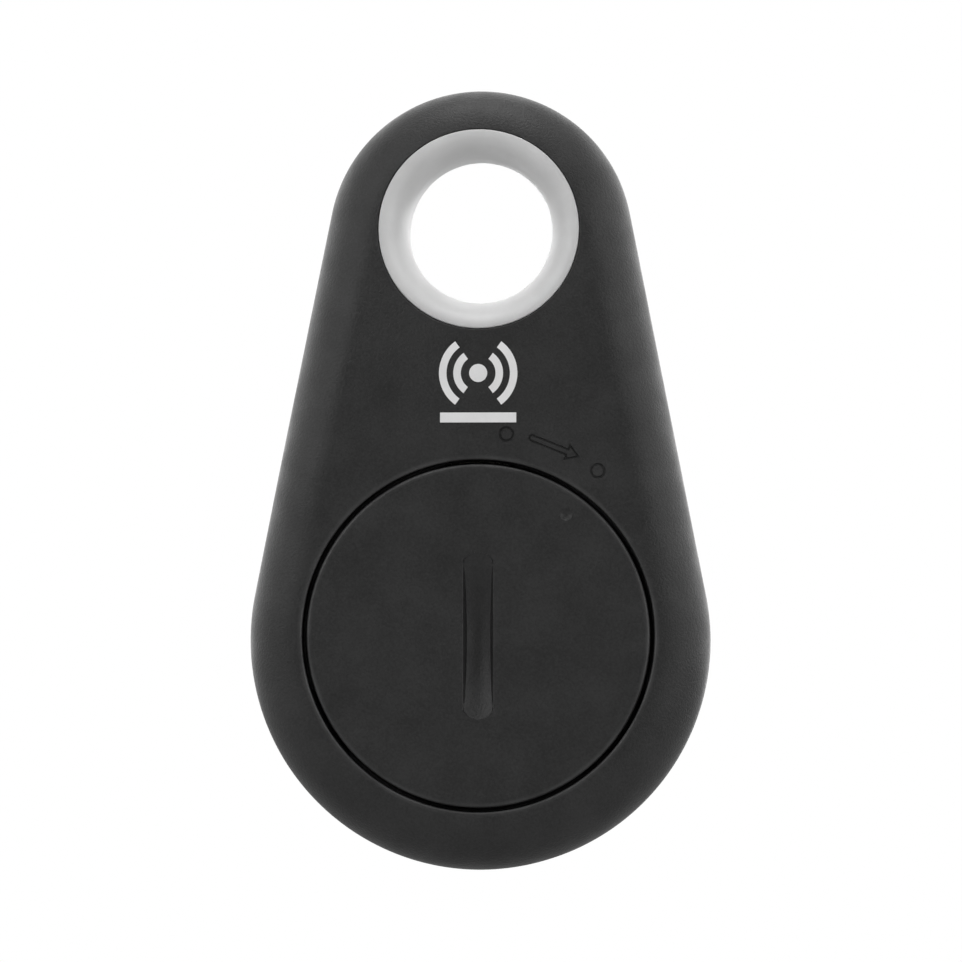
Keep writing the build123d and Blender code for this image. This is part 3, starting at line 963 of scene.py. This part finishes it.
@dataclass
class EyeletRing:
    """The eyelet's lining, flush with both faces, flared into the bore."""

    form: TagForm
    outer: float = 6.66
    bore: float = 4.8
    land: float = 2.4
    lip_start: float = 6.38
    edge: float = 0.1
    collar: float = 7.4
    collar_height: float = 1.6
    flare_steps: int = 16
    steps: int = 240

    def half_section(self, angle: np.ndarray, side: Side) -> list[Ring]:
        """The rings of one half, from the middle of the bore out over the flare to the collar.

        Args:
            angle: The angles of each ring's points.
            side: The half that is made.

        Returns:
            The rings, in order.
        """
        flare = self.lip_start - self.bore
        places: list[tuple[float, float, float]] = []
        for turn in np.radians(np.linspace(0, 90, self.flare_steps + 1)):
            places.append((self.lip_start - flare * math.cos(turn), math.sin(turn), 0.0))
        places += [(self.outer - self.edge + grow, 1.0, sink) for grow, sink in self.edge_steps()]
        rings = [self.level(angle, self.bore, 0.0)]
        for radius, rise, sink in places:
            x, z = radius * np.cos(angle), radius * np.sin(angle)
            top = self.form.height(x, z)
            height = self.land / 2 + rise * (top - self.land / 2) - sink
            rings.append(np.stack([x, side.value * height, z], axis=1))
        half = side.value * self.collar_height / 2
        return rings + [self.level(angle, self.outer, half), self.level(angle, self.collar, half)]

    def edge_steps(self) -> list[tuple[float, float]]:
        """How the outer rim is rounded off, as a growth in radius and a drop."""
        angles = np.radians(np.linspace(0, 90, 5))
        return [(self.edge * math.sin(a), self.edge * (1 - math.cos(a))) for a in angles]

    def level(self, angle: np.ndarray, radius: float, y: float) -> Ring:
        """A ring at one depth."""
        return np.stack([radius * np.cos(angle), np.full(angle.size, y), radius * np.sin(angle)], axis=1)

    def build(self) -> bpy.types.Object:
        """The finished ring, in millimetres.

        Returns:
            The piece, ready to be shaded.
        """
        angle = np.linspace(0, 2 * math.pi, self.steps, endpoint=False)
        front = self.half_section(angle, Side.BUTTON)
        back = self.half_section(angle, Side.DOOR)
        return skin_rings("eyelet", front + back[:0:-1], Ends.LOOPED)

    def dress(self, dresser: "Dresser") -> None:
        """Builds the ring and gives it its finish.

        Args:
            dresser: What holds the finishes and hands pieces to their bodies.
        """
        piece = self.build()
        dresser.smooth(piece)
        dresser.place(piece, "eyelet_ring", "casing", "eyelet_plastic")


@dataclass
class PushButton:
    """The dished round button with its flange and the post behind it."""

    form: TagForm
    radius: float = 6.5
    recess: float = 0.2
    rim: float = 0.35
    dish_depth: float = 0.35
    flange_radius: float = 7.3
    flange_y: tuple[float, float] = (3.35, 3.95)
    post_radius: float = 1.6
    post_end_y: float = 3.22

    def build(self) -> bpy.types.Object:
        """The finished button, in millimetres.

        Returns:
            The piece, ready to be shaded.
        """
        top = self.form.face_y - self.recess
        dish_edge = self.radius - 2 * self.rim
        low, high = self.flange_y
        dish = [
            (dish_edge * s, top - self.dish_depth * (1 + math.cos(math.pi * s)) / 2)
            for s in np.linspace(0, 1, 20)
        ]
        rim = arc((self.radius - self.rim, top - self.rim), self.rim, 90, 0, 7)
        profile = [
            *dish,
            *rim,
            (self.radius, high),
            (self.flange_radius, high),
            (self.flange_radius, low),
            (self.post_radius, low),
            (self.post_radius, self.post_end_y),
            (0.0, self.post_end_y),
        ]
        return lathe("button", profile, z=self.form.door_z)

    def dress(self, dresser: "Dresser") -> None:
        """Builds the button and gives it its finish.

        Args:
            dresser: What holds the finishes and hands pieces to their bodies.
        """
        piece = self.build()
        dresser.smooth(piece)
        dresser.place(piece, "push_button", "button", "button_plastic")


@dataclass
class PrintedMark:
    """A plain beacon sign in white ink below the eyelet: a dot between arcs, and a bar below it."""

    form: TagForm
    dot_z: float = -9.65
    dot_radius: float = 0.6
    arc_radii: tuple[float, ...] = (1.4, 2.35)
    stroke: float = 0.5
    half_angle: float = 54.0
    bar_z: float = -12.6
    bar_size: tuple[float, float] = (5.05, 0.66)
    bar_steps: int = 41
    lift: float = 0.012
    sink: float = 0.03

    def laid(self, name: str, left: np.ndarray, right: np.ndarray) -> bpy.types.Object:
        """A strip of ink between two lines of points, laid on the door side's face.

        Args:
            name: The strip's name.
            left: Points of one edge, as rows of X and Z.
            right: Points of the other edge, one for each point of the first.

        Returns:
            The strip as a thin closed solid.
        """
        sections = []
        for a, b in zip(left, right, strict=True):
            places = [a + (b - a) * s for s in np.linspace(0, 1, 7)]
            rows = []
            for offset, order in ((self.lift, places), (-self.sink, places[::-1])):
                for x, z in order:
                    height = float(self.form.height(np.array([x]), np.array([z]))[0])
                    rows.append([x, -height - offset, z])
            sections.append(np.array(rows))
        return skin_rings(name, sections)

    def build(self) -> list[bpy.types.Object]:
        """The mark's pieces, in millimetres.

        Returns:
            The strips, the bar last.
        """
        pieces = []
        turn = np.linspace(-90, 90, 25)
        half = np.stack([np.sin(np.radians(turn)), np.cos(np.radians(turn))], axis=1)
        centre = np.array([0.0, self.dot_z])
        left = centre + self.dot_radius * half * [1, 1]
        right = centre + self.dot_radius * half * [1, -1]
        pieces.append(self.laid("mark_dot", left, right))
        sweep = np.radians(np.linspace(-self.half_angle, self.half_angle, 49))
        for side, hand in (("left", -1), ("right", 1)):
            ray = np.stack([hand * np.cos(sweep), np.sin(sweep)], axis=1)
            for i, radius in enumerate(self.arc_radii):
                inner = centre + (radius - self.stroke / 2) * ray
                outer = centre + (radius + self.stroke / 2) * ray
                pieces.append(self.laid(f"mark_arc_{side}_{i + 1}", inner, outer))
        width, tall = self.bar_size
        across = np.linspace(-width / 2, width / 2, self.bar_steps)
        edges = (self.bar_z - tall / 2, self.bar_z + tall / 2)
        low, high = (np.stack([across, np.full(self.bar_steps, z)], axis=1) for z in edges)
        pieces.append(self.laid("mark_bar", low, high))
        return pieces

    def dress(self, dresser: "Dresser") -> None:
        """Prints the mark's pieces on the casing.

        Args:
            dresser: What holds the finishes and hands pieces to their bodies.
        """
        for piece in self.build():
            dresser.smooth(piece)
            dresser.print_on(piece, "casing")


Colour = tuple[float, float, float]


class Grain(Enum):
    """The kinds of fine detail that a surface can have."""

    MOULDED = "moulded"
    BRUSHED = "brushed"
    TURNED = "turned"
    WOVEN = "woven"
    SINTERED = "sintered"


@dataclass
class Shader:
    """A tree of shader nodes being put together, with short ways to add nodes and join them."""

    tree: bpy.types.NodeTree

    def node(self, kind: str, inputs: dict[str, object], **settings: object) -> bpy.types.NodeSocket:
        """Adds a node.

        Args:
            kind: The node's type, without its prefix.
            inputs: A value or another node's output for each named input.
            **settings: Properties of the node itself.

        Returns:
            The node's first output.
        """
        made = self.tree.nodes.new("ShaderNode" + kind)
        for key, value in settings.items():
            setattr(made, key, value)
        for key, value in inputs.items():
            socket = made.inputs[int(key)] if key.isdigit() else made.inputs[key]
            self.feed(socket, value)
        return made.outputs[0]

    def feed(self, socket: bpy.types.NodeSocket, value: object) -> None:
        """Joins a value or another node's output to an input.

        Args:
            socket: The input.
            value: A value, or another node's output.
        """
        if isinstance(value, bpy.types.NodeSocket):
            self.tree.links.new(value, socket)
        else:
            socket.default_value = value

    def sum_up(self, operation: str, first: object, second: object = 0.0) -> bpy.types.NodeSocket:
        """A sum on two values."""
        return self.node("Math", {"0": first, "1": second}, operation=operation)

    def noise(self, where: bpy.types.NodeSocket, size: float, detail: float = 2.0) -> bpy.types.NodeSocket:
        """Soft noise whose lumps have a size in millimetres."""
        return self.node("TexNoise", {"Vector": where, "Scale": 1 / size, "Detail": detail})

    def ramp(
        self, value: object, span: tuple[float, float], made: tuple[float, float]
    ) -> bpy.types.NodeSocket:
        """A value moved from one span to another, with soft ends.

        Args:
            value: What is moved.
            span: The span that it has.
            made: The span that it gets.

        Returns:
            The moved value.
        """
        inputs = {"Value": value, "From Min": span[0], "From Max": span[1]}
        inputs |= {"To Min": made[0], "To Max": made[1]}
        return self.node("MapRange", inputs, interpolation_type="SMOOTHSTEP")

    def mix(self, share: object, first: object, second: object) -> bpy.types.NodeSocket:
        """A colour between two colours."""
        return self.node("MixRGB", {"Fac": share, "Color1": first, "Color2": second})

    def blend(self, first: object, second: object, share: float) -> bpy.types.NodeSocket:
        """Two values added up, the first with a share and the second with what that share leaves."""
        rest = self.sum_up("MULTIPLY", second, 1 - share)
        return self.sum_up("ADD", self.sum_up("MULTIPLY", first, share), rest)

    def times(self, where: object, factors: tuple[float, float, float]) -> bpy.types.NodeSocket:
        """A place with each of its parts multiplied by its own factor."""
        return self.node("VectorMath", {"0": where, "1": factors}, operation="MULTIPLY")

    def place(self) -> bpy.types.NodeSocket:
        """The place on the tag, in millimetres."""
        made = self.tree.nodes.new("ShaderNodeTexCoord")
        return self.times(made.outputs["Object"], (1 / MM,) * 3)

    def split(self, where: bpy.types.NodeSocket) -> list[bpy.types.NodeSocket]:
        """The three parts of a place."""
        return list(self.node("SeparateXYZ", {"Vector": where}).node.outputs)

    def from_axis(self, where: bpy.types.NodeSocket, z: float) -> bpy.types.NodeSocket:
        """The distance from a Y axis at a height."""
        x, _, up = self.split(where)
        return self.length(x, self.sum_up("SUBTRACT", up, z))

    def length(self, first: object, second: object) -> bpy.types.NodeSocket:
        """The length of the slope over two square sides."""
        squares = [self.sum_up("MULTIPLY", side, side) for side in (first, second)]
        return self.sum_up("SQRT", self.sum_up("ADD", *squares))


@dataclass(frozen=True)
class Rim:
    """A round edge that gets rubbed: the height of its axis, its radius and its depth."""

    z: float
    radius: float
    y: float


@dataclass(frozen=True)
class Finish:
    """One surface finish: its colour, its gloss and its fine relief, with sizes in millimetres."""

    name: str
    colour: Colour
    tint: Colour
    roughness: tuple[float, float]
    grain: Grain = Grain.MOULDED
    grain_size: float = 0.16
    grain_depth: float = 0.03
    mottle_size: float = 3.0
    speckle: float = 0.2
    metallic: float = 0.0
    transmission: float = 0.0
    ior: float = 1.5
    subsurface: float = 0.0
    subsurface_depth: float = 1.0
    specular: float = 0.5
    axis_z: float = 0.0
    worn_rim: Rim | None = None
    worn_width: float = 0.3
    worn_colour: Colour = (0.045, 0.045, 0.045)

    def relief(self, shader: Shader, where: bpy.types.NodeSocket) -> bpy.types.NodeSocket:
        """The height of the fine grain, from 0 to 1.

        Args:
            shader: The material that is being made.
            where: The place on the piece.

        Returns:
            The height.
        """
        size = self.grain_size
        match self.grain:
            case Grain.BRUSHED:
                return shader.noise(shader.times(where, (1.0, 1.0, 0.04)), size, 3.0)
            case Grain.TURNED:
                turns = {"W": shader.from_axis(where, self.axis_z), "Scale": 1 / size, "Detail": 3.0}
                fine = shader.node("TexNoise", turns, noise_dimensions="1D")
                return shader.blend(fine, shader.noise(where, size * 6), 0.6)
            case Grain.WOVEN:
                x, _, up = shader.split(where)
                warp = shader.sum_up("SINE", shader.sum_up("DIVIDE", x, size))
                weft = shader.sum_up("SINE", shader.sum_up("DIVIDE", up, size))
                cloth = shader.sum_up("MULTIPLY", warp, weft)
                return shader.blend(cloth, shader.noise(where, size * 4), 0.5)
            case Grain.SINTERED:
                return shader.node("TexVoronoi", {"Vector": where, "Scale": 1 / size}, feature="SMOOTH_F1")
        return shader.blend(shader.noise(where, size, 2.0), shader.noise(where, size / 3, 1.0), 0.7)

    def wear(self, shader: Shader, where: bpy.types.NodeSocket, rim: Rim) -> bpy.types.NodeSocket:
        """How far a rim is rubbed brighter at a place, from 0 to 1.

        Args:
            shader: The material that is being made.
            where: The place on the piece.
            rim: The rim that is rubbed.

        Returns:
            The share of wear.
        """
        rubbed = shader.ramp(shader.noise(where, 2.4, 3.0), NOISE_SPAN, (0.3, 1.0))
        out = shader.sum_up("SUBTRACT", shader.from_axis(where, rim.z), rim.radius)
        deep = shader.sum_up("SUBTRACT", shader.split(where)[1], rim.y)
        near = shader.ramp(shader.length(out, deep), (0.0, self.worn_width), (1.0, 0.0))
        return shader.sum_up("MULTIPLY", near, rubbed)

    def make(self) -> bpy.types.Material:
        """The finished material.

        Returns:
            The material.
        """
        material = bpy.data.materials.new(self.name)
        material.use_nodes = True
        shader = Shader(material.node_tree)
        where = shader.place()
        relief = self.relief(shader, where)
        mottle = shader.blend(relief, shader.noise(where, self.mottle_size, 4.0), self.speckle)
        share = shader.ramp(mottle, NOISE_SPAN, WHOLE)
        colour = shader.mix(share, (*self.colour, 1.0), (*self.tint, 1.0))
        patches = shader.blend(relief, shader.noise(where, self.mottle_size * 0.6, 5.0), 0.3)
        rough = shader.ramp(patches, NOISE_SPAN, self.roughness)
        if self.worn_rim:
            worn = self.wear(shader, where, self.worn_rim)
            colour = shader.mix(worn, colour, (*self.worn_colour, 1.0))
            rough = shader.sum_up("SUBTRACT", rough, shader.sum_up("MULTIPLY", worn, 0.1))
        bump = shader.node("Bump", {"Height": relief, "Distance": self.grain_depth * MM, "Strength": 1.0})
        surface = material.node_tree.nodes["Principled BSDF"].inputs
        shader.feed(surface["Base Color"], colour)
        shader.feed(surface["Roughness"], rough)
        shader.feed(surface["Normal"], bump)
        surface["Metallic"].default_value = self.metallic
        surface["IOR"].default_value = self.ior
        surface["Specular IOR Level"].default_value = self.specular
        surface["Transmission Weight"].default_value = self.transmission
        surface["Subsurface Weight"].default_value = self.subsurface
        surface["Subsurface Radius"].default_value = (1.0, 1.0, 1.0)
        surface["Subsurface Scale"].default_value = self.subsurface_depth * MM
        return material


def grey(level: float) -> Colour:
    """A neutral colour."""
    return (level, level, level)


def finishes(form: TagForm) -> dict[str, Finish]:
    """The finish of each material slot.

    Args:
        form: The tag's outer form, for where its rims are.

    Returns:
        Finishes by the name of their slot.
    """
    opening = Rim(form.door_z, form.opening_radius + 0.1, -form.face_y)
    door = Rim(form.door_z, BatteryDoor.radius - RUBBED_INSET, -form.face_y)
    button = Rim(form.door_z, PushButton.radius - PushButton.recess, form.face_y - PushButton.recess)
    black = Finish(
        "moulded_black",
        grey(0.01),
        grey(0.024),
        (0.41, 0.51),
        grain_depth=0.045,
        speckle=0.6,
        specular=0.37,
        worn_rim=opening,
    )
    metal = Finish("plated", (0.62, 0.6, 0.56), (0.5, 0.49, 0.46), (0.22, 0.38), Grain.BRUSHED, metallic=1.0)
    moulding = Finish("moulding", grey(0.03), grey(0.045), (0.5, 0.62), grain_size=0.08)
    made = {
        "shell_plastic": black,
        "door_plastic": replace(black, name="moulded_black_door", worn_rim=door),
        "button_plastic": replace(
            black, name="satin_black", roughness=(0.3, 0.4), grain_depth=0.004, worn_rim=button
        ),
        "eyelet_plastic": Finish(
            "milky_plastic",
            grey(0.61),
            grey(0.56),
            (0.4, 0.5),
            grain_size=0.3,
            grain_depth=0.003,
            subsurface=0.6,
            subsurface_depth=1.2,
        ),
        "seal_silicone": Finish("silicone", grey(0.012), grey(0.02), (0.5, 0.62)),
        "cell_steel": replace(
            metal,
            name="cell_steel",
            grain=Grain.TURNED,
            grain_size=0.12,
            grain_depth=0.003,
            axis_z=form.door_z,
        ),
        "nylon": Finish("nylon", grey(0.5), grey(0.42), (0.5, 0.6), subsurface=0.3),
        "cell_contents": Finish("pressed_powder", grey(0.05), grey(0.09), (0.8, 0.95), Grain.SINTERED),
        "tray_plastic": Finish("tray_plastic", grey(0.05), grey(0.07), (0.45, 0.55)),
        "contact_plating": replace(metal, name="contact_plating", colour=(0.7, 0.66, 0.58), grain_size=0.08),
        "board_laminate": Finish(
            "board_laminate", (0.012, 0.07, 0.03), (0.02, 0.1, 0.045), (0.3, 0.42), Grain.WOVEN, 0.08, 0.004
        ),
        "trace_gold": replace(
            metal, name="trace_gold", colour=(0.86, 0.6, 0.25), tint=(0.75, 0.5, 0.2), grain=Grain.SINTERED
        ),
        "chip_moulding": moulding,
        "tinned_metal": replace(metal, name="tinned_metal", roughness=(0.3, 0.5), grain=Grain.SINTERED),
        "capacitor_ceramic": Finish(
            "capacitor_ceramic", (0.42, 0.28, 0.16), (0.36, 0.23, 0.13), (0.5, 0.65), Grain.SINTERED, 0.05
        ),
        "resistor_body": replace(moulding, name="resistor_body", colour=grey(0.02), roughness=(0.35, 0.5)),
        "switch_plastic": replace(moulding, name="switch_plastic"),
        "dome_steel": replace(
            metal, name="dome_steel", grain=Grain.TURNED, grain_size=0.06, axis_z=form.door_z
        ),
        "plunger_plastic": Finish("plunger_plastic", (0.5, 0.1, 0.06), (0.44, 0.08, 0.05), (0.4, 0.5)),
        "buzzer_brass": replace(
            metal, name="buzzer_brass", colour=(0.8, 0.56, 0.24), tint=(0.68, 0.46, 0.2), grain_size=0.1
        ),
        "piezo_ceramic": Finish(
            "piezo_ceramic", (0.7, 0.66, 0.55), (0.62, 0.58, 0.48), (0.55, 0.7), Grain.SINTERED, 0.08
        ),
        "clear_plastic": Finish(
            "clear_plastic", grey(0.95), grey(0.9), (0.08, 0.16), grain_depth=0.001, transmission=0.9
        ),
        "led_white": Finish("led_white", grey(0.75), (0.78, 0.74, 0.6), (0.35, 0.5), subsurface=0.4),
    }
    return made


PRINT = Finish("print_ink", grey(0.8), grey(0.7), (0.5, 0.62), grain_size=0.12, grain_depth=0.003)


@dataclass
class Dresser:
    """Puts finished pieces in their place, in metres, and gives them their material."""

    form: TagForm
    made: dict[str, bpy.types.Material] = field(default_factory=dict)
    replaced: set[str] = field(default_factory=set)
    ink: bpy.types.Material | None = None
    crease: float = 30.0

    def material(self, slot: str) -> bpy.types.Material:
        """The material of a slot, made once.

        Args:
            slot: The slot's name.

        Returns:
            The material.
        """
        if slot not in self.made:
            self.made[slot] = finishes(self.form)[slot].make()
        return self.made[slot]

    def smooth(self, piece: bpy.types.Object) -> None:
        """Shades a piece smoothly between its sharp edges.

        Args:
            piece: The piece, in millimetres.
        """
        mesh = piece.data
        mesh.polygons.foreach_set("use_smooth", [True] * len(mesh.polygons))
        mesh.set_sharp_from_angle(angle=math.radians(self.crease))

    def finish(self, piece: bpy.types.Object, body: str, material: bpy.types.Material) -> None:
        """Brings a piece to its real size, gives it its material and hands it to its body.

        Args:
            piece: The piece, in millimetres, already shaded.
            body: The body that it moves with.
            material: Its material.
        """
        piece.data.transform(Matrix.Scale(MM, 4))
        piece.data.materials.clear()
        piece.data.materials.append(material)
        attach(piece, body)
        log.info("%s rides %s, %d faces", piece.name, body, len(piece.data.polygons))

    def place(self, piece: bpy.types.Object, node: str, body: str, slot: str) -> None:
        """Puts a piece in the place of a CAD node.

        Args:
            piece: The piece, in millimetres, already shaded.
            node: The node that it stands for.
            body: The body that it moves with.
            slot: The material slot that it takes its finish from.
        """
        piece.name = node + "_skin"
        self.finish(piece, body, self.material(slot))
        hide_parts(node)
        self.replaced.add(node)

    def print_on(self, piece: bpy.types.Object, body: str) -> None:
        """Gives a piece of print its ink and hands it to its body.

        Args:
            piece: The piece of print, in millimetres.
            body: The body that it is printed on.
        """
        if self.ink is None:
            self.ink = PRINT.make()
        self.finish(piece, body, self.ink)

    def dress_kept_nodes(self) -> None:
        """Gives every node that is kept as it is the finish of its slot."""
        for part in frame["record"]["subparts"]:
            node, slot = part["node"], part["material_slot"]
            if node in self.replaced:
                continue
            for held in frame["nodes"][node].material_slots:
                held.material = self.material(slot)
            log.info("%s keeps its shape, in %s", node, slot)


@dataclass(frozen=True)
class Lamp:
    """A soft round lamp that faces the tag: where it is, how wide it is and how bright."""

    name: str
    place: tuple[float, float, float]
    size: float
    power: float

    def build(self, target: Vector) -> None:
        """Hangs the lamp, turned towards a target.

        Args:
            target: Where the lamp faces, in millimetres.
        """
        data = bpy.data.lights.new(self.name, "AREA")
        data.shape = "DISK"
        data.size = self.size * MM
        data.energy = self.power
        made = bpy.data.objects.new(self.name, data)
        made.location = Vector(self.place) * MM
        made.rotation_euler = (target - Vector(self.place)).to_track_quat("-Z", "Y").to_euler()
        bpy.context.scene.collection.objects.link(made)


@dataclass
class Studio:
    """The camera, the plain surroundings, the lamps and the pale floor."""

    target: tuple[float, float, float] = (-0.02, 0.0, -16.6)
    distance: float = 536.0
    azimuth: float = 2.2
    elevation: float = -2.2
    lens: float = 300.0
    floor_z: float = -62.0
    floor_radius: float = 600.0
    backdrop: float = 1.0
    left_right: tuple[float, float] = (1.62, 2.05)
    front_back: tuple[float, float] = (0.0, 2.3)
    low_top: tuple[float, float] = (0.0, 0.0)
    lamps: tuple[Lamp, ...] = (
        Lamp("key", (-260.0, -330.0, 180.0), 200.0, 0.4),
        Lamp("fill", (330.0, -330.0, 60.0), 220.0, 0.19),
        Lamp("front_top", (0.0, -300.0, 330.0), 200.0, 0.2),
        Lamp("overhead", (0.0, -40.0, 420.0), 300.0, 0.95),
        Lamp("back_top", (0.0, 300.0, 330.0), 200.0, 0.08),
    )

    def camera(self) -> None:
        """Sets up the camera."""
        azimuth, elevation = math.radians(self.azimuth), math.radians(self.elevation)
        level = self.distance * math.cos(elevation)
        aim = Vector(self.target)
        eye = aim + Vector(
            (level * math.sin(azimuth), -level * math.cos(azimuth), self.distance * math.sin(elevation))
        )
        data = bpy.data.cameras.new("camera")
        data.lens = self.lens
        data.clip_start = 0.01
        made = bpy.data.objects.new("camera", data)
        made.location = eye * MM
        made.rotation_euler = (aim - eye).to_track_quat("-Z", "Y").to_euler()
        bpy.context.scene.collection.objects.link(made)
        bpy.context.scene.camera = made
        bpy.context.scene.view_settings.view_transform = "Standard"

    def surroundings(self) -> None:
        """A white backdrop that lights the tag from its sides more than from before and behind."""
        world = bpy.data.worlds.new("studio")
        bpy.context.scene.world = world
        world.use_nodes = True
        tree = world.node_tree
        tree.nodes.clear()
        shader = Shader(tree)
        where = tree.nodes.new("ShaderNodeTexCoord").outputs["Generated"]
        parts = [
            self.side_light(shader, along, pair)
            for along, pair in zip(
                shader.split(where), (self.left_right, self.front_back, self.low_top), strict=True
            )
        ]
        light = shader.sum_up("ADD", shader.sum_up("ADD", parts[0], parts[1]), parts[2])
        lit = shader.node("Background", {"Color": WHITE, "Strength": light})
        seen = shader.node("Background", {"Color": WHITE, "Strength": self.backdrop})
        path = tree.nodes.new("ShaderNodeLightPath")
        both = shader.node("MixShader", {"0": path.outputs["Is Camera Ray"], "1": lit, "2": seen})
        out = tree.nodes.new("ShaderNodeOutputWorld")
        tree.links.new(both, out.inputs["Surface"])

    def side_light(
        self, shader: Shader, along: bpy.types.NodeSocket, pair: tuple[float, float]
    ) -> bpy.types.NodeSocket:
        """The light from the two ends of one axis, which fades towards the other axes.

        Args:
            shader: The surroundings that are being made.
            along: The direction's part along the axis.
            pair: The brightness at the axis's low and high end.

        Returns:
            The brightness in that direction.
        """
        high = shader.sum_up("GREATER_THAN", along, 0.0)
        level = shader.sum_up("MULTIPLY_ADD", high, pair[1] - pair[0])
        level.node.inputs[2].default_value = pair[0]
        return shader.sum_up("MULTIPLY", shader.sum_up("MULTIPLY", along, along), level)

    def floor(self) -> None:
        """The pale floor, well below the tag."""
        angle = np.linspace(0, 2 * math.pi, 128, endpoint=False)
        rim = np.stack([np.cos(angle), np.sin(angle), np.zeros(128)], axis=1) * self.floor_radius
        made = make_object("floor", rim + [0.0, 0.0, self.floor_z], [range(128)])
        made.data.transform(Matrix.Scale(MM, 4))
        paper = Finish("pale_paper", grey(0.43), grey(0.41), (0.8, 0.9), grain_size=2.0, grain_depth=0.02)
        made.data.materials.append(paper.make())

    def build(self) -> None:
        """Sets up everything round the tag."""
        self.camera()
        self.surroundings()
        for lamp in self.lamps:
            lamp.build(Vector(self.target))
        self.floor()


def main() -> None:
    """Builds the tag's visible pieces in order, dresses the rest and lights them."""
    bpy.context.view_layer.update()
    form = TagForm.from_frame()
    dresser = Dresser(form)
    pieces = (
        BackShell(form, Side.DOOR, "back_shell"),
        FrontShell(form, Side.BUTTON, "front_shell"),
        BatteryDoor(form),
        EyeletRing(form),
        PushButton(form),
        PrintedMark(form),
    )
    for piece in pieces:
        piece.dress(dresser)
    dresser.dress_kept_nodes()
    Studio().build()
    bpy.context.view_layer.update()


if __name__ == "__main__":
    main()
